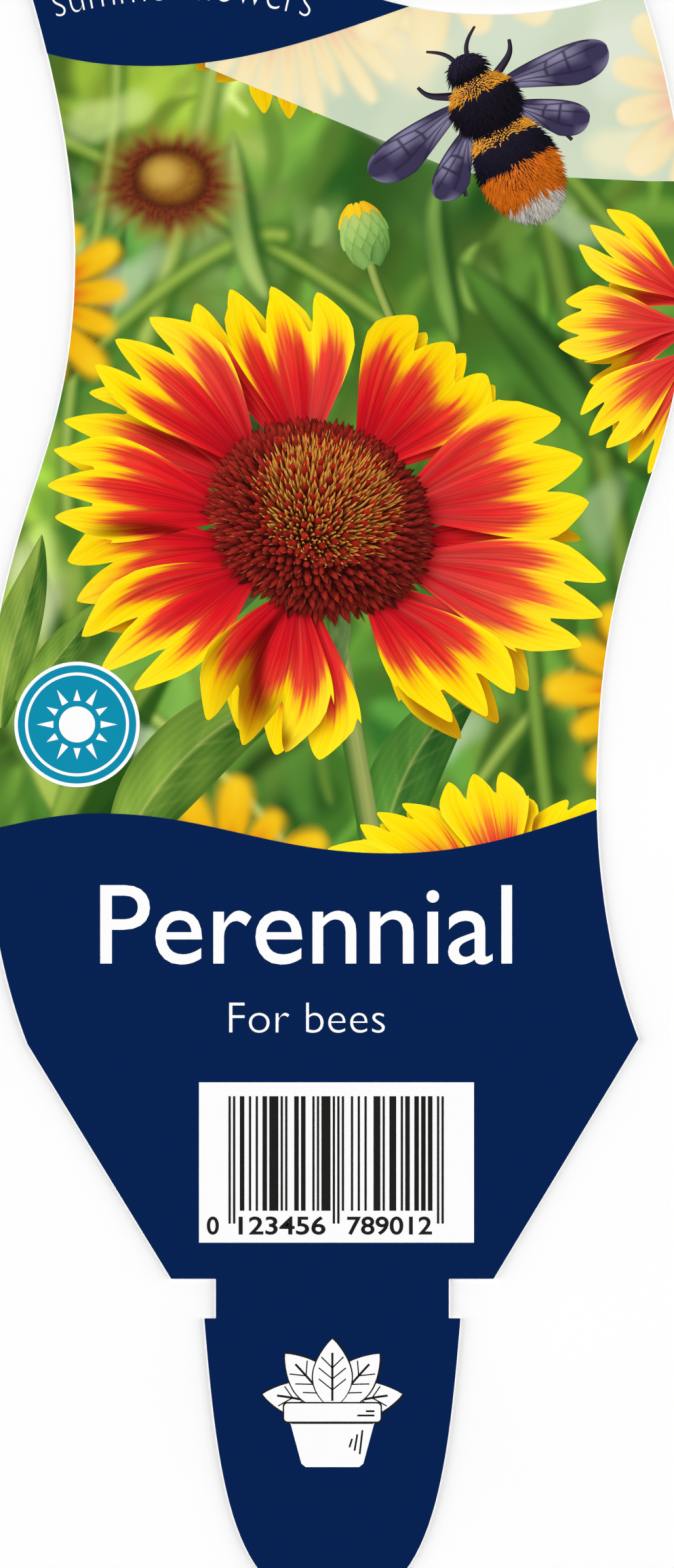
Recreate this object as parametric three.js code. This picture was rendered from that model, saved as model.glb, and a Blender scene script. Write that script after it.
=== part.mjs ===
// A stick-in plant label, die-cut from one sheet of printed plastic. All sizes are in millimetres.
//
// The label lies on its back, with its printed face up (+Z) and its stake pointing along -Y. It has a
// waving head that carries the picture and the name, a shoulder that tapers to a notched neck, and a
// short, blunt stake. The notches catch the rim of a pot, and the stake goes into the soil.
//
// The outline is drawn round the stake's own centre line (x = 0), from the shoulder line (y = 0), and
// the sheet is then moved so that the origin is the middle of its back face.

import * as THREE from "three";

// Driving dimensions.
const SHEET_THICKNESS = 0.5;
const HEAD_WIDTH = 71.3; // both side edges wave alike, this far apart
const SIDE_SHIFT = 0.3; // how far the head's middle lies to the right of the stake's centre line
const SHOULDER_WIDTH = 37.5;
const NECK_WIDTH = 27.1;
const NOTCH_HEIGHT = 4.6;
const STAKE_WIDTH = 29.8;
const STAKE_LENGTH = 33.5;
const CORNER_RADIUS = 0.12; // what the cutting rule leaves on a corner

// The side wave: how far the left edge bulges to the right or left of its own middle.
const WAVE_MIDDLE = -HEAD_WIDTH / 2 + SIDE_SHIFT;
const WAVE_OUT = { x: WAVE_MIDDLE + 5.4, y: 119.2 }; // furthest right
const WAVE_IN = { x: WAVE_MIDDLE - 5.2, y: 55.7 }; // furthest left
const HEAD_FOOT_LEFT = { x: WAVE_MIDDLE - 0.1, y: 27.3 }; // where the taper to the shoulder begins
const HEAD_FOOT_RIGHT = { x: 35.6, y: 27.9 };
const HEAD_TOP_LEFT = { x: WAVE_MIDDLE - 0.7, y: 152.8 };
const HEAD_TOP_RIGHT = { x: 35.8, y: 150.2 };

// The top edge: one crest and one hollow.
const CREST = { x: -18.9, y: 156.3 };
const HOLLOW = { x: 18.5, y: 147.1 };

const CURVE_STEPS = 28; // straight steps to each curve of the outline
const CORNER_STEPS = 4; // and to each rounded corner

// A cubic curve to `end`, which leaves `start` by the handle `out` and reaches `end` by the handle `back`.
function curveTo(path, start, out, back, end) {
  path.bezierCurveTo(start.x + out.x, start.y + out.y, end.x + back.x, end.y + back.y, end.x, end.y);
}

// A small round from the path's end, past `corner`, to `leave`.
function roundTo(path, corner, leave) {
  const enter = path.currentPoint.clone();
  const round = new THREE.QuadraticBezierCurve(
    enter,
    new THREE.Vector2(corner.x, corner.y),
    new THREE.Vector2(leave.x, leave.y),
  );
  for (const point of round.getPoints(CORNER_STEPS).slice(1)) {
    path.lineTo(point.x, point.y);
  }
}

// The corner at `corner`, on the way from `before` to `after`, with the cutting rule's small round.
function cornerTo(path, before, corner, after) {
  const towards = (point) => {
    const step = new THREE.Vector2(point.x - corner.x, point.y - corner.y).setLength(CORNER_RADIUS);
    return { x: corner.x + step.x, y: corner.y + step.y };
  };
  const enter = towards(before);
  const leave = towards(after);
  path.lineTo(enter.x, enter.y);
  roundTo(path, corner, leave);
}

// The right edge is the left edge moved across by the head's width.
function acrossHead(point) {
  return { x: point.x + HEAD_WIDTH, y: point.y };
}

// The left edge of the head, from its top corner down to the foot, and nearly the same curves for the
// right edge from its foot up to the top corner.
function leftEdge(path) {
  curveTo(path, HEAD_TOP_LEFT, { x: 4.9, y: -15.5 }, { x: 0, y: 6.5 }, WAVE_OUT);
  curveTo(path, WAVE_OUT, { x: 0, y: -27.1 }, { x: 0, y: 34.6 }, WAVE_IN);
  curveTo(path, WAVE_IN, { x: 0, y: -3.2 }, { x: -4.6, y: 11.8 }, HEAD_FOOT_LEFT);
}

function rightEdge(path) {
  const inner = acrossHead(WAVE_IN);
  const outer = acrossHead(WAVE_OUT);
  curveTo(path, HEAD_FOOT_RIGHT, { x: -4.6, y: 11.8 }, { x: 0, y: -3.2 }, inner);
  curveTo(path, inner, { x: 0, y: 34.6 }, { x: 0, y: -27.1 }, outer);
  curveTo(path, outer, { x: 0, y: 6.5 }, { x: 4.2, y: -12.4 }, HEAD_TOP_RIGHT);
}

// The top edge, from the right corner through the hollow and over the crest to the left corner.
function topEdge(path) {
  curveTo(path, HEAD_TOP_RIGHT, { x: -5.9, y: -2.1 }, { x: 5.9, y: 0 }, HOLLOW);
  curveTo(path, HOLLOW, { x: -18.5, y: 0 }, { x: 14, y: 0 }, CREST);
  curveTo(path, CREST, { x: -7, y: 0 }, { x: 5.6, y: 2.2 }, HEAD_TOP_LEFT);
}

// The shoulder, notch and stake on one side: -1 is the left side and 1 the right side.
function footCorners(side) {
  return {
    shoulder: { x: (side * SHOULDER_WIDTH) / 2, y: 0 },
    notchTop: { x: (side * NECK_WIDTH) / 2, y: 0 },
    notchFoot: { x: (side * NECK_WIDTH) / 2, y: -NOTCH_HEIGHT },
    stakeTop: { x: (side * STAKE_WIDTH) / 2, y: -NOTCH_HEIGHT },
  };
}

// The left side of the foot downwards, the blunt tip, and the right side upwards.
function footEdge(path) {
  const left = footCorners(-1);
  const right = footCorners(1);
  const tip = { x: 0, y: -NOTCH_HEIGHT - STAKE_LENGTH };
  const flank = 19.5; // how far down the sides of the stake stay nearly straight
  const taper = 1.6; // how far in they lean over that length
  const bluntness = 11.5; // how far the tip runs square across, to each side

  cornerTo(path, HEAD_FOOT_LEFT, left.shoulder, left.notchTop);
  cornerTo(path, left.shoulder, left.notchTop, left.notchFoot);
  cornerTo(path, left.notchTop, left.notchFoot, left.stakeTop);
  const leftFlank = { x: left.stakeTop.x + taper, y: left.stakeTop.y - flank };
  cornerTo(path, left.notchFoot, left.stakeTop, leftFlank);
  const leftStart = path.currentPoint.clone();
  curveTo(path, leftStart, { x: taper, y: -flank }, { x: -bluntness, y: 0 }, tip);

  const rightEnd = { x: -leftStart.x, y: leftStart.y };
  curveTo(path, tip, { x: bluntness, y: 0 }, { x: -taper, y: -flank }, rightEnd);
  roundTo(path, right.stakeTop, { x: right.stakeTop.x - CORNER_RADIUS, y: right.stakeTop.y });
  cornerTo(path, right.stakeTop, right.notchFoot, right.notchTop);
  cornerTo(path, right.notchFoot, right.notchTop, right.shoulder);
  cornerTo(path, right.notchTop, right.shoulder, HEAD_FOOT_RIGHT);
}

function labelOutline() {
  const outline = new THREE.Shape();
  outline.moveTo(HEAD_TOP_LEFT.x, HEAD_TOP_LEFT.y);
  leftEdge(outline);
  footEdge(outline);
  outline.lineTo(HEAD_FOOT_RIGHT.x, HEAD_FOOT_RIGHT.y);
  rightEdge(outline);
  topEdge(outline);
  return outline;
}

// The sheet, with its back face on z = 0 and its middle over the origin.
function labelSheet() {
  const geometry = new THREE.ExtrudeGeometry(labelOutline(), {
    depth: SHEET_THICKNESS,
    bevelEnabled: false,
    curveSegments: CURVE_STEPS,
  });
  geometry.computeBoundingBox();
  const middle = geometry.boundingBox.getCenter(new THREE.Vector3());

  const mesh = new THREE.Mesh(
    geometry,
    new THREE.MeshStandardMaterial({ color: 0x03204f, roughness: 0.42, metalness: 0 }),
  );
  mesh.name = "label";
  mesh.position.set(-middle.x, -middle.y, 0);
  return mesh;
}

const plantLabel = new THREE.Group();
plantLabel.name = "plant_label";
plantLabel.add(labelSheet());

export default plantLabel;
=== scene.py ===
"""A stick-in plant label: a die-cut sheet of white plastic, printed with a flower picture and a navy panel.

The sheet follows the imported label's outline. Everything printed on it is a thin film of ink that lies on
the sheet, inside the label's thickness. Sizes and places are in millimetres in the label's own frame: x
runs across it, y from the stake's tip to the head, and z out of the printed face.
"""

import itertools
import math

import bmesh
import bpy
import numpy as np
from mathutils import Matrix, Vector
from mathutils.bvhtree import BVHTree
from mathutils.geometry import tessellate_polygon


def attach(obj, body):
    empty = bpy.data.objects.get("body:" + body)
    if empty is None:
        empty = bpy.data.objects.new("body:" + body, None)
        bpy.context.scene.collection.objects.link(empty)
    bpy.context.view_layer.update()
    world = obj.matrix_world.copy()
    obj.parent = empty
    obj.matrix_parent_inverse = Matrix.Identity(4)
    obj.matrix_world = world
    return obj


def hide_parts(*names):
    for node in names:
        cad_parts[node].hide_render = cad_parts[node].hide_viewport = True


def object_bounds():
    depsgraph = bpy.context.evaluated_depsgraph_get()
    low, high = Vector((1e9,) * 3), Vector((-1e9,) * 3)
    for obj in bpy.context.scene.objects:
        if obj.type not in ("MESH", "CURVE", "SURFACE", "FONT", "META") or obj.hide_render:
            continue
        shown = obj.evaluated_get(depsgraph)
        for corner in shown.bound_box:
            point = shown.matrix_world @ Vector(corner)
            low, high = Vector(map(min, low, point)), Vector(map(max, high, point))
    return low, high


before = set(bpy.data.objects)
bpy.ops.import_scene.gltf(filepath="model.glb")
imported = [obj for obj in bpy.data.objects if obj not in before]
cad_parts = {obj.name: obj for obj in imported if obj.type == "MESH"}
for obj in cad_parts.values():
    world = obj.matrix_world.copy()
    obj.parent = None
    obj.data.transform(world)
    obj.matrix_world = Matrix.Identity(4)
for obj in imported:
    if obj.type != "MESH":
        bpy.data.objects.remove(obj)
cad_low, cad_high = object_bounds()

MM = 0.001  # metres in a millimetre

# Heights of the layers, from the sheet's back face.
LABEL_TOP = (cad_high.z - cad_low.z) / MM
SHEET_TOP = LABEL_TOP - 0.08
GROUND_TOP = SHEET_TOP + 0.006  # the picture's background
WASH_TOP = GROUND_TOP + 0.014  # the pale wash in the picture's upper corner
BEE_LEVEL = GROUND_TOP + 0.022
NAVY_TOP = LABEL_TOP - 0.024
LETTER_TOP = LABEL_TOP - 0.012  # white and teal inks, on the navy
DETAIL_TOP = LABEL_TOP  # what is printed on the white and teal

SHEET_EDGE = 0.05  # the round that the cutting rule leaves along the edge
GROUND_LOW = -12.0  # the picture goes on down under the navy panel to here
GOLDEN_ANGLE = math.pi * (3 - math.sqrt(5))  # from one floret to the next in a flower's spiral


def linear(hex_colour):
    """An sRGB hex colour as linear red, green, blue and alpha."""
    channels = [int(hex_colour[i : i + 2], 16) / 255 for i in (1, 3, 5)]
    return [c / 12.92 if c <= 0.04045 else ((c + 0.055) / 1.055) ** 2.4 for c in channels] + [1.0]


def tint(hex_colour):
    """An sRGB hex colour as linear red, green and blue."""
    return np.array(linear(hex_colour)[:3])


def between(first, second, share):
    """Colours from one hex colour to another, by a share for each point."""
    return tint(first) + np.asarray(share)[..., None] * (tint(second) - tint(first))


def soft_step(low, high, value):
    """A smooth rise from 0 to 1 between two values."""
    t = np.clip((value - low) / (high - low), 0, 1)
    return t * t * (3 - 2 * t)


def spun(x, y, angle):
    """Places turned about the origin."""
    c, s = math.cos(angle), math.sin(angle)
    return c * x - s * y, s * x + c * y


def shares(across, along, left=-1.0, right=1.0):
    """How far across a grid each of its points lies, from left to right, and how far along, from 0 to 1."""
    return np.meshgrid(np.linspace(left, right, across + 1), np.linspace(0, 1, along + 1))


# ---------------------------------------------------------------------------------------------------
# Curves and outlines


def bezier(start, out, back, end, steps=24):
    """Points of a cubic curve whose handles are given from its own ends."""
    start, end = np.array(start, float), np.array(end, float)
    first, second = start + out, end + back
    t = np.linspace(0, 1, steps + 1)[:, None]
    return (1 - t) ** 3 * start + 3 * (1 - t) ** 2 * t * first + 3 * (1 - t) * t**2 * second + t**3 * end


def curve_through(*pieces):
    """Several cubic curves, end to end, as one row of points."""
    points = [bezier(*piece) for piece in pieces]
    return np.vstack([points[0]] + [more[1:] for more in points[1:]])


def packed_outline():
    """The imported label's outline, anticlockwise, as x and y in millimetres."""
    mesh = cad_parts["label"].data
    top = max(v.co.z for v in mesh.vertices)
    edges = set()
    for face in mesh.polygons:
        corners = [mesh.vertices[i].co for i in face.vertices]
        if all(abs(c.z - top) < 1e-6 for c in corners):
            keys = [(round(c.x / MM, 4), round(c.y / MM, 4)) for c in corners]
            edges.update(zip(keys, keys[1:] + keys[:1]))
    follow = {start: end for start, end in edges if (end, start) not in edges}
    loop = [min(follow)]
    while len(loop) < len(follow):
        loop.append(follow[loop[-1]])
    return np.array(loop)


OUTLINE = packed_outline()


def edge_chain(first, last):
    """The outline's points from one index to another, anticlockwise."""
    if last < first:
        last += len(OUTLINE)
    return OUTLINE[np.arange(first, last + 1) % len(OUTLINE)]


# The head's corners, where a sum or difference of x and y is largest, and the lowest point.
TOP_LEFT = int(np.argmax(OUTLINE[:, 1] - OUTLINE[:, 0]))
TOP_RIGHT = int(np.argmax(OUTLINE[:, 1] + OUTLINE[:, 0]))
STAKE_TIP = int(np.argmin(OUTLINE[:, 1]))
LEFT_EDGE = edge_chain(TOP_LEFT, STAKE_TIP)[::-1]
RIGHT_EDGE = edge_chain(STAKE_TIP, TOP_RIGHT)
TOP_EDGE = edge_chain(TOP_RIGHT, TOP_LEFT)[::-1]


def left_of(y):
    return np.interp(y, LEFT_EDGE[:, 1], LEFT_EDGE[:, 0])


def right_of(y):
    return np.interp(y, RIGHT_EDGE[:, 1], RIGHT_EDGE[:, 0])


def top_of(x):
    return np.interp(x, *TOP_EDGE.T)


def cut_outline(curve, side):
    """The part of the outline above (side 1) or below (side -1) a curve that crosses it left to right."""
    height = side * (OUTLINE[:, 1] - np.interp(OUTLINE[:, 0], *curve.T))
    kept = height > 0
    enter = int(np.flatnonzero(kept & ~np.roll(kept, 1))[0])
    count = int(kept.sum())
    chain = OUTLINE[(enter + np.arange(count)) % len(OUTLINE)]

    def crossing(inside, outside):
        share = height[inside] / (height[inside] - height[outside])
        return OUTLINE[inside] + share * (OUTLINE[outside] - OUTLINE[inside])

    first = crossing(enter, (enter - 1) % len(OUTLINE))
    final = (enter + count - 1) % len(OUTLINE)
    last = crossing(final, (final + 1) % len(OUTLINE))
    low, high = sorted((first[0], last[0]))
    inner = curve[(curve[:, 0] > low + 0.01) & (curve[:, 0] < high - 0.01)]
    if last[0] > first[0]:
        inner = inner[::-1]
    return np.vstack([first, chain, last, inner])


# The navy band's lower edge, which leaves the label at its top edge, and the navy panel's upper edge.
BAND_EDGE = curve_through(
    ((-36, 84.1), (4.6, -1.2), (-7, 0), (-21.4, 82)),
    ((-21.4, 82), (11, 0), (-8.5, -3), (8.4, 88.9)),
    ((8.4, 88.9), (3, 1.1), (-3, -1.2), (17, 92.2)),
)
PANEL_EDGE = curve_through(
    ((-42, -7.2), (5, 1), (-5.5, 0), (-27.6, -4.95)),
    ((-27.6, -4.95), (13, 0), (-14, 0), (6.3, -9.6)),
    ((6.3, -9.6), (10.5, 0), (-8.5, -2.9), (33, -3.6)),
)


# ---------------------------------------------------------------------------------------------------
# Meshes


def mesh_object(name, vertices, faces):
    """A new object whose mesh has its place in its vertices, given in millimetres."""
    mesh = bpy.data.meshes.new(name)
    mesh.from_pydata((np.asarray(vertices, float) * MM).tolist(), [], faces)
    mesh.update()
    made = bpy.data.objects.new(name, mesh)
    bpy.context.scene.collection.objects.link(made)
    return made


def cut_object(name, vertices, faces):
    """A new object whose many-sided faces are cut into triangles."""
    made = mesh_object(name, vertices, faces)
    cleaned = bmesh.new()
    cleaned.from_mesh(made.data)
    bmesh.ops.triangulate(cleaned, faces=[f for f in cleaned.faces if len(f.verts) > 4])
    cleaned.to_mesh(made.data)
    cleaned.free()
    return made


def finish_piece(piece, finish, *nodes):
    """Gives a piece the material of its finish, which is a material and its slot, and sets the piece on the
    body that it rides on. The imported parts that it stands for are hidden."""
    material, slot = finish
    piece.data.materials.clear()
    piece.data.materials.append(material)
    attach(piece, "root")
    if nodes:
        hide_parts(*nodes)


def clockwise(loop):
    x, y = np.asarray(loop, float).T[:2]
    return float(np.sum(x * np.roll(y, -1) - y * np.roll(x, -1))) < 0


def prism(loops, low, high, first=0):
    """A closed flat solid between two heights: an outline, and the outlines of any holes in it."""
    loops = [np.asarray(loop, float)[:, :2] for loop in loops]
    loops = [loop[::-1] if clockwise(loop) == (i == 0) else loop for i, loop in enumerate(loops)]
    flat = np.vstack(loops)
    count = len(flat)
    vertices = np.vstack([np.c_[flat, np.full(count, low)], np.c_[flat, np.full(count, high)]])
    faces = []
    for a, b, c in tessellate_polygon([[Vector((x, y, 0)) for x, y in loop] for loop in loops]):
        if clockwise(flat[[a, b, c]]):
            a, c = c, a
        faces.append((first + c, first + b, first + a))
        faces.append((first + count + a, first + count + b, first + count + c))
    start = first
    for loop in loops:
        ring = range(start, start + len(loop))
        for here, there in zip(ring, [*ring[1:], start]):
            faces.append((here, there, count + there, count + here))
        start += len(loop)
    return vertices, faces


def print_film(name, shapes, top, ink):
    """An ink film of one or more flat shapes; each shape is a list of an outline and its holes. They
    share one height, or each has its own."""
    vertices, faces = [], []
    for loops, height in zip(shapes, np.broadcast_to(top, len(shapes))):
        more_vertices, more_faces = prism(loops, SHEET_TOP, height, sum(len(v) for v in vertices))
        vertices.append(more_vertices)
        faces += more_faces
    finish_piece(mesh_object(name, np.vstack(vertices), faces), ink)


def inset(loop, distance):
    """A loop moved inwards, for an anticlockwise loop and a small distance."""
    along = np.roll(loop, -1, 0) - np.roll(loop, 1, 0)
    along /= np.linalg.norm(along, axis=1)[:, None]
    return loop + distance * np.c_[-along[:, 1], along[:, 0]]


def label_sheet():
    """The plastic sheet, with its cut edge rounded over at the back and the front."""
    levels = [(d * SHEET_EDGE, z * SHEET_EDGE) for d, z in [(1.0, 0.0), (0.29, 0.29), (0.0, 1.0)]]
    levels += [(d, SHEET_TOP - z) for d, z in reversed(levels)]
    count = len(OUTLINE)
    vertices = np.vstack([np.c_[inset(OUTLINE, d), np.full(count, z)] for d, z in levels])
    faces = [tuple(range(count))[::-1], tuple(range(len(vertices) - count, len(vertices)))]
    for low in range(0, len(vertices) - count, count):
        for i in range(count):
            j = (i + 1) % count
            faces.append((low + i, low + j, low + count + j, low + count + i))
    return cut_object("label_sheet", vertices, faces)


def grid_quads(rows, columns):
    """The faces of a grid of points."""
    index = np.arange(rows * columns).reshape(rows, columns)
    return np.stack([index[:-1, :-1], index[:-1, 1:], index[1:, 1:], index[1:, :-1]], -1).reshape(-1, 4)


def surface(grid):
    """A grid's points in a row, and its faces."""
    return grid.reshape(-1, grid.shape[-1]), grid_quads(*grid.shape[:2])


def film_over(grid, low, high, first=0):
    """A closed film over a grid of points, with a fine front face and a plain back: its points, its
    faces, and which points are repeated round its lower rim."""
    flat, quads = surface(grid[..., :2])
    index = np.arange(len(flat)).reshape(grid.shape[:2])
    rim = np.r_[index[0, :-1], index[:-1, -1], index[-1, :0:-1], index[:0:-1, 0]]
    if clockwise(flat[rim]):
        quads, rim = quads[:, ::-1], rim[::-1]
    tops = np.broadcast_to(np.asarray(high, float).reshape(-1), len(flat))
    vertices = np.vstack([np.c_[flat, tops], np.c_[flat[rim], np.full(len(rim), low)]])
    below = len(flat) + np.arange(len(rim))
    walls = np.stack([below, np.roll(below, -1), np.roll(rim, -1), rim], -1)
    back = tuple((first + below[::-1]).tolist())
    return vertices, (first + quads).tolist() + (first + walls).tolist() + [back], rim


def within_edges(place):
    """Points drawn in to the label's two side edges where they would lie past them."""
    y = place[..., 1]
    x = np.clip(place[..., 0], left_of(y) + SHEET_EDGE, right_of(y) - SHEET_EDGE)
    return np.stack([x, y], -1)


def ribbon(path, half_widths, across=8):
    """A strip along a path as a grid of points, whose half width changes along it."""
    path = np.asarray(path, float)
    along = np.gradient(path, axis=0)
    along /= np.linalg.norm(along, axis=1)[:, None]
    side = np.stack([-along[:, 1], along[:, 0]], -1)
    u = np.linspace(1, -1, across + 1)
    return path[:, None, :] + side[:, None, :] * (np.asarray(half_widths)[:, None] * u)[..., None]


def dome(radius, height, rings=16, sides=64):
    """A rounded body, as a grid of points from its crown to its rim."""
    turn, slope = shares(sides, rings, 0, 2 * math.pi)
    slope = math.radians(88) * slope
    out = radius * np.sin(slope)
    return np.stack([out * np.cos(turn), out * np.sin(turn), height * np.cos(slope)], -1)


# ---------------------------------------------------------------------------------------------------
# Materials

# Satin varnish over the inks, with the IOR of acrylic. It lies a little smoother on the flat inks.
FLAT_VARNISH = {"Roughness": 0.34, "IOR": 1.5, "Specular IOR Level": 0.15}
PICTURE_VARNISH = {"Roughness": 0.36, "IOR": 1.5, "Specular IOR Level": 0.1}
# How far apart the patches of each pattern lie.
INK_MOTTLE = 1.11
ROLLED_GRAIN = 0.4
BOARD_CLOUDS = 25.0


def node(tree, kind, *values, **settings):
    """Adds a node, sets its properties, and fills or links its inputs: in their order, or by name or
    number from a dictionary. A node given as a value is linked by its first output."""
    made = tree.nodes.new(kind)
    for name, value in settings.items():
        setattr(made, name, value)
    by_name = bool(values) and isinstance(values[0], dict)
    for name, value in (values[0] if by_name else dict(enumerate(values))).items():
        if isinstance(value, bpy.types.Node):
            value = value.outputs[0]
        if isinstance(value, bpy.types.NodeSocket):
            tree.links.new(value, made.inputs[name])
        else:
            made.inputs[name].default_value = value
    return made


def new_material(name):
    """An empty material, and its node tree."""
    material = bpy.data.materials.new(name)
    material.use_nodes = True
    material.node_tree.nodes.clear()
    return material, material.node_tree


def set_stops(ramp, stops):
    """Gives a ramp its colours by position, of which the first is 0 and the last 1."""
    elements = ramp.color_ramp.elements
    elements[0].color, elements[-1].color = linear(stops.pop(0.0)), linear(stops.pop(1.0))
    for position, colour in stops.items():
        elements.new(position).color = linear(colour)


def flat_ink(name, colour, mottle):
    """Solid ink under satin varnish: nearly even, with the slight mottle that ink has on plastic."""
    material, tree = new_material(name)
    place = node(tree, "ShaderNodeTexCoord").outputs["Object"]
    cloud = {"Vector": place, "Scale": 1 / (INK_MOTTLE * MM), "Detail": 3.0}
    cloud = node(tree, "ShaderNodeTexNoise", cloud)
    dark, light = ([min(1.0, c * (1 + way * mottle)) for c in tint(colour)] + [1.0] for way in (-1, 1))
    mix = node(tree, "ShaderNodeMix", {"Factor": cloud, 6: dark, 7: light}, data_type="RGBA")
    shader = {"Base Color": mix.outputs[2], **FLAT_VARNISH}
    node(tree, "ShaderNodeOutputMaterial", node(tree, "ShaderNodeBsdfPrincipled", shader))
    return material


def white_polypropylene():
    """Calendered white polypropylene: bright and satin, with the fine grain of the rolls in its face."""
    material, tree = new_material("white_polypropylene")
    place = node(tree, "ShaderNodeTexCoord").outputs["Object"]
    grain = {"Vector": place, "Scale": 1 / (ROLLED_GRAIN * MM), "Detail": 4.0}
    grain = node(tree, "ShaderNodeTexNoise", grain)
    colour = node(tree, "ShaderNodeValToRGB", grain)
    set_stops(colour, {0.0: "#EFF0EE", 1.0: "#FAFAF8"})
    bump = node(tree, "ShaderNodeBump", {"Height": grain, "Strength": 0.08, "Distance": 0.00002})
    shader = {"Base Color": colour, "Roughness": 0.42, "IOR": 1.49, "Normal": bump}
    node(tree, "ShaderNodeOutputMaterial", node(tree, "ShaderNodeBsdfPrincipled", shader))
    return material


def painted_ink():
    """Process inks of the picture: the colour is laid down by the mesh's own ink attribute."""
    material, tree = new_material("picture_litho_ink")
    ink = node(tree, "ShaderNodeAttribute", attribute_name="ink", attribute_type="GEOMETRY")
    shader = {"Base Color": ink, **PICTURE_VARNISH}
    node(tree, "ShaderNodeOutputMaterial", node(tree, "ShaderNodeBsdfPrincipled", shader))
    return material


def petal_ink():
    """Process inks of a blanket flower's ray petals: red at the heart, streaked out into clear yellow.

    The yellow runs down both margins, and fine veins run from the root to the three lobes."""
    material, tree = new_material("petal_litho_ink")
    petal, light, sheen = (
        node(tree, "ShaderNodeAttribute", attribute_name=name, attribute_type="GEOMETRY").outputs
        for name in ("petal", "light", "sheen")
    )
    across, along, number = node(tree, "ShaderNodeSeparateXYZ", petal["Vector"]).outputs

    def streaks(wide, long, detail):
        """Noise drawn out along the petal, and different on each petal."""
        at = node(tree, "ShaderNodeVectorMath", petal["Vector"], (wide, long, 7.3), operation="MULTIPLY")
        return node(tree, "ShaderNodeTexNoise", {"Vector": at, "Scale": 1.0, "Detail": detail})

    own = node(tree, "ShaderNodeTexWhiteNoise", {"W": number}, noise_dimensions="1D")
    margin = node(tree, "ShaderNodeMath", across, operation="ABSOLUTE")
    margin = node(tree, "ShaderNodeMath", margin, 3.0, operation="POWER")
    reach = along
    for part, middle, weight in (
        (margin, 0.0, 0.13),
        (streaks(3.4, 1.1, 2.0), 0.5, 0.26),
        (streaks(17.0, 1.3, 4.0), 0.5, 0.36),
        (own, 0.5, 0.06),
    ):
        part = node(tree, "ShaderNodeMath", part, middle, operation="SUBTRACT")
        reach = node(tree, "ShaderNodeMath", part, weight, reach, operation="MULTIPLY_ADD")
    ramp = node(tree, "ShaderNodeValToRGB", reach)
    reds = {0.0: "#7C0B1A", 0.20: "#C40C20", 0.50: "#E01420", 0.68: "#E63826"}
    set_stops(ramp, {**reds, 0.75: "#F0781E", 0.80: "#FBB80C", 0.87: "#FFD400", 1.0: "#FFDE10"})
    heart = node(tree, "ShaderNodeMapRange", {"Value": reach, "From Min": 0.77, "From Max": 0.62})
    coral = {"Value": streaks(11.0, 0.8, 3.0), "From Min": 0.52, "From Max": 0.72}
    coral = node(tree, "ShaderNodeMapRange", coral)
    fine = streaks(30.0, 0.9, 3.0)
    coral_here = node(tree, "ShaderNodeMath", own, 0.9, 0.15, operation="MULTIPLY_ADD")
    for part in (coral, heart, along):
        coral_here = node(tree, "ShaderNodeMath", coral_here, part, operation="MULTIPLY")
    striped = {0: coral_here, 6: ramp, 7: linear("#F4603A")}
    striped = node(tree, "ShaderNodeMix", striped, data_type="RGBA").outputs[2]
    on_red = {"Value": fine, "From Min": 0.32, "From Max": 0.62, "To Min": 0.66, "To Max": 1.1}
    on_yellow = {"Value": fine, "From Min": 0.3, "From Max": 0.6, "To Min": 0.90, "To Max": 1.03}
    on_red, on_yellow = (node(tree, "ShaderNodeMapRange", values) for values in (on_red, on_yellow))
    veins = node(tree, "ShaderNodeMix", {"Factor": heart, "A": on_yellow, "B": on_red})
    shade = {0: light["Vector"], "Scale": veins}
    shade = node(tree, "ShaderNodeVectorMath", shade, operation="SCALE")
    lit = node(tree, "ShaderNodeVectorMath", striped, shade, operation="MULTIPLY")
    sheen = node(tree, "ShaderNodeMath", sheen["Fac"], 0.07, operation="MULTIPLY")
    bright = {0: sheen, 6: lit, 7: linear("#FFD2B4")}
    bright = node(tree, "ShaderNodeMix", bright, data_type="RGBA", clamp_result=True)
    shader = {"Base Color": bright.outputs[2], **PICTURE_VARNISH}
    node(tree, "ShaderNodeOutputMaterial", node(tree, "ShaderNodeBsdfPrincipled", shader))
    return material


# What a piece is printed with: its ink, and the slot that the ink belongs to.
NAVY = flat_ink("navy_litho_ink", "#002052", 0.05), "blue_ink"
WHITE = flat_ink("white_litho_ink", "#FDFDFD", 0.01), "white_plastic"
TEAL = flat_ink("teal_litho_ink", "#098EB0", 0.04), "blue_ink"
BLACK = flat_ink("black_litho_ink", "#1E1E1C", 0.06), "blue_ink"
PICTURE = painted_ink(), "picture_ink"
PETALS = petal_ink(), "picture_ink"




# ---------------------------------------------------------------------------------------------------
# Printed pieces of the picture, whose mesh carries its colours


def set_values(piece, **values):
    """Stores numbers or vectors on a piece's points."""
    for name, data in values.items():
        kind, field = ("FLOAT", "value") if data.ndim == 1 else ("FLOAT_VECTOR", "vector")
        piece.data.attributes.new(name, kind, "POINT").data.foreach_set(field, data.ravel())


def set_ink(piece, colours):
    """Stores a linear colour at each vertex."""
    rgba = np.c_[colours, np.ones(len(colours))]
    piece.data.color_attributes.new("ink", "FLOAT_COLOR", "POINT").data.foreach_set("color", rgba.ravel())


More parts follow.
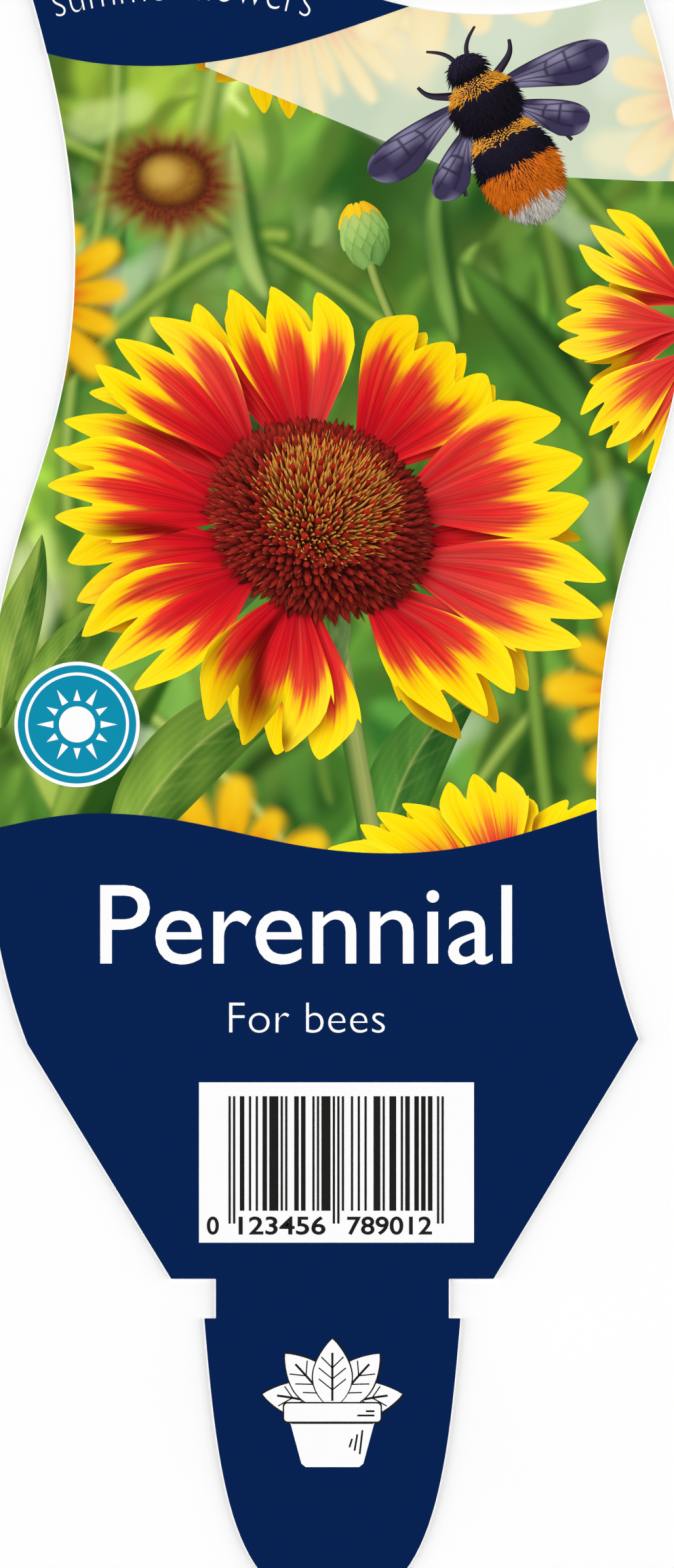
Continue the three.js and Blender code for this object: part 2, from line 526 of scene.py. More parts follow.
def lay_out(piece, across, along, lower=None):
    """Lays a piece out flat for its colours, each point by two numbers from 0 to 1. The back, whose
    corners are all among the lower points, gets a strip beside the rest."""
    mesh = piece.data
    corner = np.array([loop.vertex_index for loop in mesh.loops])
    place = np.stack([across, along], -1)[corner] * (1 if lower is None else 0.93, 1)
    if lower is not None:
        starts = np.array([face.loop_start for face in mesh.polygons])
        counts = np.array([face.loop_total for face in mesh.polygons])
        behind = np.repeat(np.logical_and.reduceat(lower[corner], starts), counts)
        place[behind, 0] = 0.945 + 0.05 * place[behind, 0]
    mesh.uv_layers.new(name="OFBake").uv.foreach_set("vector", (0.003 + 0.994 * place).ravel())


def grid_layout(grid, rim, slot=0, slots=1):
    """The shares across and along of a grid's points and of its lower rim, and which points are lower."""
    rows, columns = grid.shape[:2]
    across, along = (share.ravel() for share in shares(columns - 1, rows - 1, 0))
    across = (slot + 0.01 + 0.98 * across) / slots
    lower = np.arange(len(along) + len(rim)) >= len(along)
    return np.stack([np.r_[across, across[rim]], np.r_[along, along[rim]], lower])


def print_painted(name, *patches):
    """Prints grids of points as films of one piece; each has its height and the colours of its points."""
    vertices, faces, inks, layout = [], [], [], []
    for number, (grid, top, colours) in enumerate(patches):
        more, more_faces, rim = film_over(within_edges(grid), SHEET_TOP, top, sum(len(v) for v in vertices))
        colours = colours.reshape(-1, 3)
        vertices.append(more)
        faces += more_faces
        inks += [colours, colours[rim]]
        layout.append(grid_layout(grid, rim, number, len(patches)))
    piece = cut_object(name, np.vstack(vertices), faces)
    across, along, lower = np.hstack(layout)
    lay_out(piece, across, along, lower > 0)
    set_ink(piece, np.minimum(1, np.vstack(inks)))
    finish_piece(piece, PICTURE)


def print_florets(name, points, faces, colours):
    """Prints many small florets or hairs as one piece, the lowest of them first."""
    heights = np.array([points[list(face), 2].mean() for face in faces])
    piece = mesh_object(name, points, [faces[i] for i in np.argsort(heights, kind="stable")])
    low, high = points.min(0), points.max(0)
    across, along, _ = ((points - low) / (high - low)).T
    lay_out(piece, across, along)
    set_ink(piece, np.clip(colours, 0, 1).reshape(-1, 3))
    finish_piece(piece, PICTURE)


# ---------------------------------------------------------------------------------------------------
# The picture's background

# Soft patches of foliage far behind the flower: centre, reach along and across, tilt, colour, cover.
FOLIAGE = [
    ((-20, 79), (15, 6), -14, "#9CCB4E", 0.9),
    ((-31, 70), (5, 8), 10, "#2F7A38", 0.9),
    ((-27, 58), (9, 6), 30, "#74BE86", 0.95),
    ((-14, 62), (6, 5), -20, "#A9D3A0", 0.8),
    ((-7, 71), (5, 9), -24, "#7DBE5C", 0.9),
    ((1, 66), (4, 8), -15, "#2F7C36", 0.9),
    ((10, 67), (6, 6), 10, "#66B060", 0.9),
    ((20, 64), (7, 6), -20, "#2E7436", 0.95),
    ((25, 55), (5, 8), -15, "#5BA84A", 0.9),
    ((31, 48), (5, 9), 0, "#23582A", 0.95),
    ((33, 30), (5, 10), -12, "#4B9A44", 0.9),
    ((30, 18), (5, 7), 25, "#2B6A30", 0.9),
    ((33, 8), (5, 6), 10, "#74B24E", 0.8),
    ((-32, 48), (6, 6), 10, "#2E7F3C", 0.95),
    ((-36, 36), (5, 7), 20, "#86BA4A", 0.9),
    ((-36, 22), (6, 6), 0, "#A6CE74", 0.8),
    ((-30, 12), (7, 6), 10, "#3A7C32", 0.9),
    ((-22, 6), (6, 6), -15, "#8CC084", 0.8),
    ((-26, -3), (10, 5), 5, "#2C6A2C", 0.95),
    ((-11, 7), (6, 5), -15, "#5CA24A", 0.9),
    ((-6, -2), (6, 5), 0, "#2B6E34", 0.9),
    ((7, 3), (5, 7), 30, "#3E9448", 0.95),
    ((15, 7), (5, 7), -25, "#7CBE68", 0.9),
    ((22, 2), (5, 6), 20, "#2E7036", 0.95),
    ((29, -1), (5, 4), 0, "#4E8E3E", 0.9),
    ((-12, 78), (1.8, 8), -38, "#CFE6BE", 0.6),
    ((-3, 62), (1.6, 5), 12, "#CBE6C2", 0.55),
    ((27, 66), (2.2, 4), 30, "#A9D290", 0.6),
    ((12, 13), (1.8, 4), -30, "#B4DCA0", 0.5),
    ((-27, 66), (1.6, 5), 40, "#B7DDB0", 0.5),
    ((18, 57), (1.4, 4), 24, "#9CCC84", 0.5),
    ((-33, 3), (2, 4), 60, "#C6DEAA", 0.5),
]

# Pale light that shows between the leaves, told as the patches are.
PALE_LIGHTS = [
    ((7, 75), (8, 2.6), -28, "#C9DDB8", 0.65),
    ((-24, 57), (5.5, 2.2), 38, "#C2DCAE", 0.60),
    ((-35, 21), (3.2, 6), 8, "#D6E4A8", 0.70),
    ((27, 64), (5, 2), -35, "#BDD6A6", 0.55),
    ((13, 3.5), (5, 2.4), 30, "#C8DDBA", 0.60),
    ((-21, 3), (4.5, 2), -22, "#C5DBB0", 0.55),
    ((31, 30), (2.4, 5), -10, "#B4D194", 0.50),
    ((-27, 76), (6, 2.6), 16, "#D2E58E", 0.55),
]

# Stems far behind the flower: the curve that each follows, its half width, colours and blur.
FAR_STEMS = [
    (((-38, 76), (16, -7), (-10, 9), (8, 50)), 0.8, "#3F7F2E", "#9CC765", 1.0),
    (((-22, 50), (5, 14), (-2, -9), (-13, 86)), 1.1, "#4F8C34", "#B0D47E", 1.6),
    (((38, 57), (-9, 9), (12, 2), (4, 84)), 0.9, "#3A762F", "#8FBF60", 1.2),
    (((22, 76), (3, -14), (-2, 12), (34, 22)), 1.3, "#2F6A2B", "#86B65A", 1.6),
    (((-4, -12), (-6, 12), (7, -3), (-36, 15)), 0.7, "#5A963E", "#B6D88A", 0.8),
    (((12, -12), (3, 12), (-8, -4), (38, 19)), 0.8, "#4A8A3A", "#A5CC72", 1.0),
    (((-40, 36), (6, 8), (-8, 2), (-6, 62)), 0.8, "#4C8C34", "#A2CC6A", 1.4),
    (((26, -12), (-3, 14), (2, -10), (20, 40)), 0.9, "#39752F", "#8CBE5E", 1.1),
    (((-31, 30), (-2, 20), (6, -12), (-27, 90)), 0.6, "#4A8A38", "#A9D07A", 1.3),
]

# Leaves behind the flower, a little out of focus: the curve, the width, colours and blur.
FAR_LEAVES = [
    (((-31, -6), (-4, 10), (3, -9), (-36, 27)), 6.5, "#3F8230", "#A9D070", 0.5),
    (((-33, -9), (5, 8), (-5, -1), (-17, 13.5)), 6.2, "#35762C", "#93C25E", 0.5),
    (((35, -8), (-2, 8), (2, -8), (28.5, 21)), 7.0, "#23592A", "#62A84A", 0.5),
    (((-33, 45), (4, 6), (-3, -6), (-24.5, 64)), 5.4, "#2A6E32", "#79BC64", 0.6),
    (((31, 38), (-3, 7), (4, -4), (14.5, 59)), 5.6, "#245A2A", "#5FA24A", 1.0),
    (((-8, 55), (-3, 6), (1, -6), (-12, 74)), 3.6, "#3C8038", "#A6D088", 0.8),
    (((14, 50), (-1, 7), (-3, -5), (13, 70)), 3.2, "#2C6E34", "#86BE6A", 0.8),
]

# Blades of grass and leaves, from the furthest to the nearest: how many, their least and greatest length
# and width, and the blur of their edges.
BLADES = [
    (90, (12, 26), (3.0, 7.0), 2.2),
    (130, (8, 20), (1.6, 3.8), 1.2),
    (110, (5, 15), (0.8, 2.2), 0.65),
]
PICTURE_CORNERS = (-40, -12), (40, 90)

GREEN_GRADE = np.array([0.84, 0.70, 0.46])  # warms the greens, which are mixed too cool and pale above
MIDDLE_LIGHT = 0.31  # the brightness of the greens that the contrast is raised about

# Blooms far behind, out of focus: the centre, the petals' reach, a turn, and how many petals.
FAR_BLOOMS = [((-35.5, 55), 12.5, 0.3, 14), ((37.5, 9), 13.5, 0.1, 13), ((-13, -14), 14.0, 0.5, 13)]
BLOOM_TONES = ("#F2B60C", "#FFDC28", "#9C5A0C", "#D63A1C", "#4E120E")  # petal, tip, gaps, heart, disc
VEILED_TONES = ("#FBE2A2", "#FFF1C4", "#D2C290", "#F0A792", "#C08C7C")

SPENT_HEAD = (-19.5, 68.5)  # an out-of-focus seed head


def ground_grid():
    """Points of the head from a lowest height up to its top edge, in rows that follow the edges."""
    a, b = shares(240, 330, 0)
    x = left_of(50.0) + a * (right_of(50.0) - left_of(50.0))
    for _ in range(12):
        y = GROUND_LOW + b * (top_of(x) - SHEET_EDGE - GROUND_LOW)
        x = left_of(y) + SHEET_EDGE + a * (right_of(y) - left_of(y) - 2 * SHEET_EDGE)
    return np.stack([x, y], -1)


def near_path(x, y, path):
    """Distance of each point from a path, and how far along the path its nearest point is, from 0 to 1."""
    path = np.asarray(path, float)
    best = np.full(x.shape, 1e9)
    along = np.zeros(x.shape)
    lengths = np.linalg.norm(np.diff(path, axis=0), axis=1)
    starts = np.r_[0, np.cumsum(lengths)]
    for i, ((x0, y0), (x1, y1)) in enumerate(zip(path[:-1], path[1:])):
        t = np.clip(((x - x0) * (x1 - x0) + (y - y0) * (y1 - y0)) / lengths[i] ** 2, 0, 1)
        distance = np.hypot(x - x0 - t * (x1 - x0), y - y0 - t * (y1 - y0))
        closer = distance < best
        best = np.where(closer, distance, best)
        along = np.where(closer, (starts[i] + t * lengths[i]) / starts[-1], along)
    return best, along


def paint(colours, hex_colour, cover):
    """Lays a colour over others where the cover, from 0 to 1, says so."""
    return colours + np.asarray(cover)[..., None] * (tint(hex_colour) - colours)


def paint_within(colours, hex_colour, cover, start, end, reach):
    """Lays a colour over others up to a reach, and fades it out from one reach to another."""
    return paint(colours, hex_colour, cover * (1 - soft_step(start, end, reach)))


def leaf_shape(along):
    """A leaf blade's half width, as a share of its widest, from its root at 0 to its tip at 1."""
    return np.sin(math.pi * np.clip(0.04 + 0.96 * along**0.85, 0, 1)) ** 0.8


def soft_patches(colours, x, y, patches):
    """Lays soft-edged patches over others."""
    for (cx, cy), (along, across), tilt, colour, cover in patches:
        dx, dy = x - cx, y - cy
        a, b = spun(dx, dy, -math.radians(tilt))
        wobble = 0.12 * np.sin(0.9 * dx + 0.4 * dy) + 0.10 * np.sin(0.5 * dx - 0.8 * dy + cx)
        colours = paint_within(colours, colour, cover, 0.45, 1.25, np.hypot(a / along, b / across) + wobble)
    return colours


def far_foliage(x, y):
    """The large soft patches of light and dark green."""
    return soft_patches(np.tile(tint("#4F9440"), (len(x), 1)), x, y, FOLIAGE)


def soft_blades(colours, x, y):
    """Blurred blades in front of the patches, each a lighter or darker shade of what it lies on."""
    draw = np.random.default_rng(21)
    for count, lengths, widths, blur in BLADES:
        for _ in range(count):
            centre = draw.uniform(*PICTURE_CORNERS)
            length, width = draw.uniform(*lengths), draw.uniform(*widths)
            tilt, bend = math.radians(draw.normal(75, 38)), draw.normal(0, 0.09) * length
            shade, freshness = draw.uniform(0.45, 1.75), draw.uniform(0, 0.30)
            dx, dy = x - centre[0], y - centre[1]
            near = np.hypot(dx, dy) < length / 2 + abs(bend) + blur + width
            if not near.any():
                continue
            along, across = spun(dx[near], dy[near], -tilt)
            along = along / (length / 2)
            across = across - bend * (1 - along**2)
            half = width / 2 * np.sqrt(np.clip(1 - along**2, 0, 1))
            cover = 1 - soft_step(-blur, blur, np.abs(across) - half)
            cover *= 0.75 * (1 - soft_step(0.7, 1.05, np.abs(along)))
            own = far_foliage(*centre[:, None])[0] * shade
            own = own + freshness * (tint("#B9DC6C") - own)
            colours[near] += cover[:, None] * (own - colours[near])
    return colours


def graded(colours, contrast=0.5):
    """Deeper and warmer greens, with more between the lights and the darks."""
    light = colours @ (0.21, 0.72, 0.07) / MIDDLE_LIGHT
    return colours * GREEN_GRADE * (light**contrast)[..., None]


def soft_bloom(colours, x, y, bloom, tones=BLOOM_TONES, blur=0.07):
    """An out-of-focus bloom: golden petals round a red heart and a dark disc."""
    petals, tips, gaps, heart, disc = tones
    centre, size, turn, count = bloom
    dx, dy = x - centre[0], y - centre[1]
    turned_by = np.arctan2(dy, dx) / (2 * math.pi) * count + turn
    petal = np.floor(turned_by)
    across = np.abs(2 * (turned_by - petal) - 1)
    reach = np.hypot(dx, dy) / size
    tip = 0.88 + 0.09 * np.sin(petal * 2.4) - 0.36 * across**2.6
    # The steeper a petal's edge runs, the more it is drawn in, so that the blur is as wide all round.
    steep = 0.94 * across**1.6 * count / (math.pi * np.maximum(reach, 0.2))
    cover = 1 - soft_step(-blur, blur, (reach - tip) / np.hypot(1, steep))
    colours = paint(colours, petals, cover)
    colours = paint(colours, tips, 0.6 * cover * soft_step(0.5, 0.9, reach) * (1 - across))
    colours = paint(colours, gaps, 0.75 * cover * across**5)
    uneven = 0.12 * across + 0.05 * np.sin(petal * 5.1)
    colours = paint_within(colours, heart, 0.85, 0.34, 0.66, reach + uneven)
    return paint_within(colours, disc, 1, 0.24, 0.34, reach)


def spent_head(colours, x, y):
    """An out-of-focus seed head: a golden crown in a dark ring, with a reddish fringe."""
    dx, dy = x - SPENT_HEAD[0], (y - SPENT_HEAD[1]) * 1.25
    turn = np.arctan2(dy, dx)
    uneven = 0.3 * np.sin(17 * turn) + 0.25 * np.sin(26 * turn + 1) + 0.3 * np.sin(5 * turn)
    reach = np.hypot(dx, dy) + uneven
    fringe = 0.5 + 0.5 * np.sin(41 * turn + 4.0 * np.sin(reach * 1.7))
    crown = np.hypot(dx - 0.3, dy - 0.6)
    in_crown = soft_step(1.2, 3.2, crown)
    for colour, cover, start, end, distance in (
        ("#9A6A28", 0.65, 6.0, 10.0, reach),
        ("#5E2014", 0.95, 5.0, 7.6, reach),
        ("#A04A26", 0.45 * fringe, 4.8, 7.4, reach),
        ("#3E120C", 0.8, 3.6, 5.4, crown),
        ("#9A6C22", 0.95, 2.4, 4.4, crown),
        ("#7A3416", 0.5 * fringe * in_crown, 3.0, 4.6, crown),
        ("#D8B250", 0.8, 0.6, 3.2, np.hypot(dx + 0.5, dy - 1.3)),
    ):
        colours = paint_within(colours, colour, cover, start, end, distance)
    return colours


def picture_ground():
    """Foliage far behind the flower: out-of-focus leaves, stems, blooms and a seed head."""
    grid = ground_grid()
    x, y = grid.reshape(-1, 2).T
    colours = soft_blades(far_foliage(x, y), x, y)
    for curve, half_width, dark, light, blur in FAR_STEMS:
        edge = 1 - soft_step(half_width - blur / 2, half_width + blur, near_path(x, y, bezier(*curve))[0])
        colours = paint(colours, dark, 0.9 * edge)
        lit, _ = near_path(x + 0.3, y - 0.4, bezier(*curve))
        colours = paint_within(colours, light, 0.8 * edge, 0.0, half_width + blur / 2, lit)
    for curve, width, dark, light, blur in FAR_LEAVES:
        distance, along = near_path(x, y, bezier(*curve))
        edge = 1 - soft_step(-blur, blur, distance - width / 2 * leaf_shape(along))
        colours = paint(colours, dark, 0.95 * edge)
        lit, _ = near_path(x + 0.30 * width, y - 0.22 * width, bezier(*curve))
        glow = edge * (0.75 + 0.2 * np.sin(along * 9))
        colours = paint_within(colours, light, glow, 0.1 * width, 0.55 * width, lit)
        colours = paint(colours, light, 0.5 * edge * np.exp(-((distance / (0.25 + blur / 2)) ** 2)))
    colours = soft_patches(graded(colours), x, y, PALE_LIGHTS)
    for bloom in FAR_BLOOMS:
        colours = soft_bloom(colours, x, y, bloom)
    print_painted("picture_ground", (grid, GROUND_TOP, spent_head(colours, x, y)))


# The pale wash in the picture's upper corner: its lower edge, and soft patches of colour in it, told by
# their centre, reach across and up, colour and cover.
WASH_LOW = np.array([(-15.2, 81.9), (14.5, 69.6), (36.5, 68.6)])
WASH_PATCHES = [
    ((-6, 81), (8, 4), "#F3EFC9", 0.9),
    ((8, 84), (6, 5), "#F6E7B8", 0.9),
    ((10, 88), (3.5, 3), "#F0C9B4", 0.8),
    ((2, 78), (5, 5), "#B8CDAE", 0.8),
    ((20, 86), (7, 4), "#CFDCC4", 0.8),
    ((14, 73), (7, 5), "#B9CCAA", 0.9),
    ((27, 80), (5, 8), "#C3D0B8", 0.8),
    ((34, 84), (5, 6), "#DDE4D4", 0.9),
    ((34, 72), (5, 3.5), "#EFE9BE", 0.9),
]
VEILED_BLOOMS = [((-5.5, 93.5), 20.0, 0.78, 33), ((12, 99.5), 18.0, 0.2, 14), ((43.5, 79), 14.0, 0.0, 12)]


def pale_wash():
    """A pale veil over the picture's corner, with the blooms behind it hardly showing."""
    a, b = shares(200, 110, 0)
    start = WASH_LOW[0, 0]
    x = start + a * (right_of(75.0) - start)
    for _ in range(10):
        floor = np.interp(x, *WASH_LOW.T)
        ceiling = np.minimum(top_of(x), np.interp(x, *BAND_EDGE.T) + 0.4) - SHEET_EDGE
        y = floor + b * np.maximum(0, ceiling - floor)
        x = start + a * (right_of(y) - SHEET_EDGE - start)
    grid = np.stack([x, y], -1)
    x, y = grid.reshape(-1, 2).T
    colours = np.tile(tint("#C6D6B8"), (len(x), 1))
    for (cx, cy), (rx, ry), colour, cover in WASH_PATCHES:
        reach = np.hypot((x - cx) / rx, (y - cy) / ry) + 0.1 * np.sin(x * 0.9 + cy) + 0.08 * np.sin(y * 1.1)
        colours = paint_within(colours, colour, cover, 0.5, 1.2, reach)
    for bloom in VEILED_BLOOMS:
        colours = soft_bloom(colours, x, y, bloom, VEILED_TONES, 0.03)
    print_painted("pale_wash", (grid, WASH_TOP, paint(colours, "#EEF1E2", 0.22)))


# ---------------------------------------------------------------------------------------------------
# The light in the picture: a high sun at the upper left, and a soft sky

SUN = Vector((-0.42, 0.62, 0.66)).normalized()
SUN_COLOUR = np.array([1.0, 0.97, 0.90])
SKY_COLOUR = np.array([0.93, 0.98, 1.0])
SKY_SHARE, SUN_SHARE, THROUGH_SHARE = 0.62, 0.66, 0.25
RAY_START = 0.12  # how far off a surface its rays start
SHEEN_POWER = 22


def cone_of_ways(centre, spread, count):
    """Directions spread evenly over a cone about a centre direction."""
    turn = Vector(centre).to_track_quat("Z", "Y")
    ways = []
    for i in range(count):
        z = 1 - (1 - math.cos(spread)) * (i + 0.5) / count
        r = math.sqrt(1 - z * z)
        ways.append(turn @ Vector((r * math.cos(i * GOLDEN_ANGLE), r * math.sin(i * GOLDEN_ANGLE), z)))
    return ways


SUN_WAYS = cone_of_ways(SUN, math.radians(7), 4)
SKY_WAYS = cone_of_ways((0, 0.3, 0.95), math.radians(80), 12)


def search_tree(parts):
    """One search tree for the rays of light, over several meshes given as points and faces."""
    points, faces = [], []
    for more_points, more_faces in parts:
        start = len(points)
        points += [Vector(p) for p in more_points]
        faces += [tuple(i + start for i in face) for face in more_faces]
    return BVHTree.FromPolygons(points, faces)


def picture_light(points, normals, tree, sky_reach=14.0, sun_reach=60.0):
    """The light on each point as a colour, with the shade that the flower casts on itself, and how much
    of a sheen the sun leaves there."""
    light = np.empty((len(points), 3))
    sheen = np.empty(len(points))
    half_way = (SUN + Vector((0, 0, 1))).normalized()
    for i in range(len(points)):
        normal = Vector(normals[i])
        start = Vector(points[i]) + normal * RAY_START
        facing = normal.dot(SUN)
        seen = 0.0
        if facing > 0.02:
            seen = sum(tree.ray_cast(start, way, sun_reach)[0] is None for way in SUN_WAYS) / len(SUN_WAYS)
        open_sky = whole_sky = 1e-6
        for way in SKY_WAYS:
            weight = normal.dot(way)
            if weight > 0:
                whole_sky += weight
                if tree.ray_cast(start, way, sky_reach)[0] is None:
                    open_sky += weight
        sky = SKY_SHARE * (0.2 + 0.8 * open_sky / whole_sky)
        sun = SUN_SHARE * max(facing, 0) ** 0.8 * seen + THROUGH_SHARE * max(-facing, 0)
        light[i] = SKY_COLOUR * sky + SUN_COLOUR * sun
        sheen[i] = seen * max(normal.dot(half_way), 0) ** SHEEN_POWER
    return light, sheen


def grid_light(grid, tree):
    """The light and the sheen on a grid, whose normals are turned to the viewer."""
    normals = np.cross(np.gradient(grid, axis=1), np.gradient(grid, axis=0))
    normals *= np.where(normals[..., 2:] < 0, -1, 1)
    normals = normals / (np.linalg.norm(normals, axis=2)[:, :, None] + 1e-9)
    return picture_light(grid.reshape(-1, 3), normals.reshape(-1, 3), tree)




# ---------------------------------------------------------------------------------------------------
# Flowers

PETAL_ACROSS, PETAL_ALONG = 42, 42  # steps of a petal's grid
LAYER = 0.0045  # from one petal's ink to the next that overlaps it
PRESS = 0.0002  # how much of its depth a petal keeps

# The open flower: its place and size in the picture, and how it leans away from the viewer.
BLOOM_PLACE = np.array([-2.2, 28.2, 0.0])
BLOOM_LEAN = math.radians(36)
BLOOM_TOWARDS = math.radians(66)
PETAL_LENGTH = 26.0
# Its whorls of petals: how many, the turn of the first, their pitch in degrees and their relative length.
WHORLS = [(7, 0.40, 5, 0.97), (9, 0.0, 16, 1.0)]
BRACTS = 13
DISC_RADIUS, DISC_HEIGHT = 11.2, 7.0
PETAL_BASE = GROUND_TOP + 0.016
BRACT_LEVEL = PETAL_BASE - 0.003
DISC_BASE = PETAL_BASE + 6.0 * LAYER
DISC_PRESS = 0.0018  # how much of its depth the disc keeps: its florets overlap many times over

# Its florets, which are spikes: the spike's sides and rings; where they grow, from the crown at 0 to the
# rim at 1; their colours at the root and the tip; how far their tones differ; and how many the spiral has,
# their size, how much larger they are at the rim, and where the spiral starts.
FLORETS = [
    (
        (5, [(0.38, 0.0), (0.50, 0.35), (0.30, 0.72)]),
        (0.46, 1.0),
        ("#5C0C08", "#92221A"),
        0.30,
        (820, (0.84, 0.84, 2.3), 1.25, 0.5),
    ),
    (
        (4, [(0.5, 0.0), (0.45, 0.6)]),
        (0.52, 1.0),
        ("#6A1812", "#C05A38"),
        0.5,
        (520, (0.26, 0.26, 2.3), 1.0, 0.8),
    ),
    (
        (6, [(0.40, 0.0), (0.52, 0.45), (0.42, 0.8)]),
        (0.0, 0.55),
        ("#5E0E08", "#9A1E12"),
        0.25,
        (420, (0.86, 0.86, 1.7), 1.2, 0.5),
    ),
    (
        (3, [(0.5, 0.0), (0.42, 0.5)]),
        (0.0, 0.53),
        ("#BC501A", "#EE9A40"),
        0.25,
        (2700, (0.46, 0.46, 2.1), 1.0, 0.2),
    ),
]

# Blooms beside the open flower, of which only some petals show: name, centre, petal length, lean and its
# direction in degrees, how much red they show, their whorls, and the directions of the petals that show.
NEIGHBOURS = [
    ("right_bloom", (45, 52), 15.0, 30, 150, 0.66, [(9, 0.2, 6, 0.97), (9, 0.0, 16, 1.0)], (120, 250)),
    ("lower_bloom", (21, -18), 18.0, 50, 90, 0.50, [(9, 0.3, 10, 0.95), (11, 0.0, 20, 1.0)], (10, 170)),
    ("upper_bloom", (-5.5, 93.5), 14.0, 24, 270, 0.62, [(8, 0.2, 5, 0.97), (9, 0.1, 14, 1.0)], (225, 315)),
]
NEIGHBOUR_BASE = GROUND_TOP + 0.006
NEIGHBOUR_LAYER = 0.0011


def petal_grid(length, width, root, pitch, recurve, cup, roll, wave, phase, notch):
    """One ray petal as a grid of points: a wedge that widens to three lobes. It grows along +x."""
    u, v = shares(PETAL_ACROSS, PETAL_ALONG)
    lobe = np.abs(np.cos(math.pi * (u + 0.03 * math.sin(phase)) / 0.66))
    lobes = 1 - (0.72 * lobe**0.62 + 0.28 * (1 - 2 / math.pi * np.arccos(lobe)))
    s = v * (1 - notch * lobes - 0.11 * np.abs(u) ** 2.2)
    fine = np.linspace(0, 1, 200)
    bend = pitch - recurve * fine**1.5
    out = np.interp(s, fine, np.cumsum(np.cos(bend)) / 200)
    up = np.interp(s, fine, np.cumsum(np.sin(bend)) / 200)
    half = width / 2 * (0.11 + 0.89 * np.sin(math.pi / 2 * np.minimum(1, s / 0.80)) ** 1.45)
    half = half * (1 - 0.14 * np.maximum(0, s - 0.76) / 0.24)
    groove = -0.22 * np.exp(-(((np.abs(u) - 0.33) / 0.12) ** 2)) * np.sin(math.pi * np.minimum(1, s * 1.15))
    pleat = 0.045 * np.cos(u * 19 + phase) * np.sin(math.pi * s)
    rise = cup * half * u**2 + groove + pleat
    rise = rise + wave * np.abs(u) ** 2 * np.sin(4.2 * v + phase + 1.3 * np.sign(u)) * s
    side, fall = spun(half * u, -rise, -roll)
    angle = pitch - recurve * s**1.5
    x = root + length * out + fall * np.sin(angle)
    return np.stack([x, side, length * up - fall * np.cos(angle)], -1)


def bract_grid(length, width, root, pitch, recurve):
    """One of the narrow pointed leaves under the flower, folded along its middle. It grows along +x."""
    u, v = shares(8, 16)
    bend = pitch - recurve * v**1.3
    half = width / 2 * np.maximum(0.02, np.sin(math.pi * np.minimum(1, 0.12 + 0.88 * v**0.75))) ** 0.9
    x = root + length * v * np.cos(bend * 0.6)
    z = length * v * np.sin(bend * 0.6) + 0.35 * half * np.abs(u)
    return np.stack([x, half * u, z], -1)


def turned(grid, angle):
    """A grid of points turned about the z axis."""
    return np.stack([*spun(grid[..., 0], grid[..., 1], angle), grid[..., 2]], -1)


def bloom_view(lean, towards):
    """Turns a bloom's own frame, with its axis on +z, to the picture's, where +z is towards the viewer:
    the axis leans away from the viewer by one angle, towards a direction in the picture."""
    c, s = math.cos(lean), math.sin(lean)
    tilt = np.array([[1, 0, 0], [0, c, s], [0, -s, c]])
    return turned(np.eye(3), towards - math.pi / 2).T @ tilt


def ray_petals(draw, disc_radius, whorls, size, view):
    """A bloom's petals in the picture's frame, each with the layer that it is printed in."""
    petals = []
    for whorl, (count, start, pitch, reach) in enumerate(whorls):
        for i in range(count):
            grid = petal_grid(
                length=size * reach * draw.uniform(0.92, 1.05),
                width=size * draw.uniform(0.60, 0.73),
                root=disc_radius * 0.78,
                pitch=math.radians(pitch + draw.normal(0, 3)),
                recurve=math.radians(draw.uniform(12, 44)),
                cup=draw.uniform(-0.12, 0.24),
                roll=math.radians(draw.normal(0, 7)),
                wave=draw.uniform(0.1, 0.6),
                phase=draw.uniform(0, 6.28),
                notch=draw.uniform(0.23, 0.36),
            )
            angle = start + 2 * math.pi * (i + draw.normal(0, 0.07)) / count
            odd_one = 2 if i == count - 1 and count % 2 else i % 2
            petals.append((turned(grid, angle) @ view.T, 3 * whorl + odd_one))
    return petals


def spindle(sides, rings):
    """A closed spike that stands on its base: rings of a radius at a height, and its tip."""
    turn = 2 * math.pi * np.arange(sides) / sides
    points = [(0, 0, rings[0][1])]
    for radius, height in rings:
        points += [(radius * math.cos(a), radius * math.sin(a), height) for a in turn]
    points.append((0, 0, 1.0))
    last = 1 + (len(rings) - 1) * sides
    faces = []
    for i in range(sides):
        j = (i + 1) % sides
        faces.append((0, 1 + j, 1 + i))
        for low in range(1, last, sides):
            faces.append((low + i, low + j, low + sides + j, low + sides + i))
        faces.append((last + i, last + j, len(points) - 1))
    return points, faces


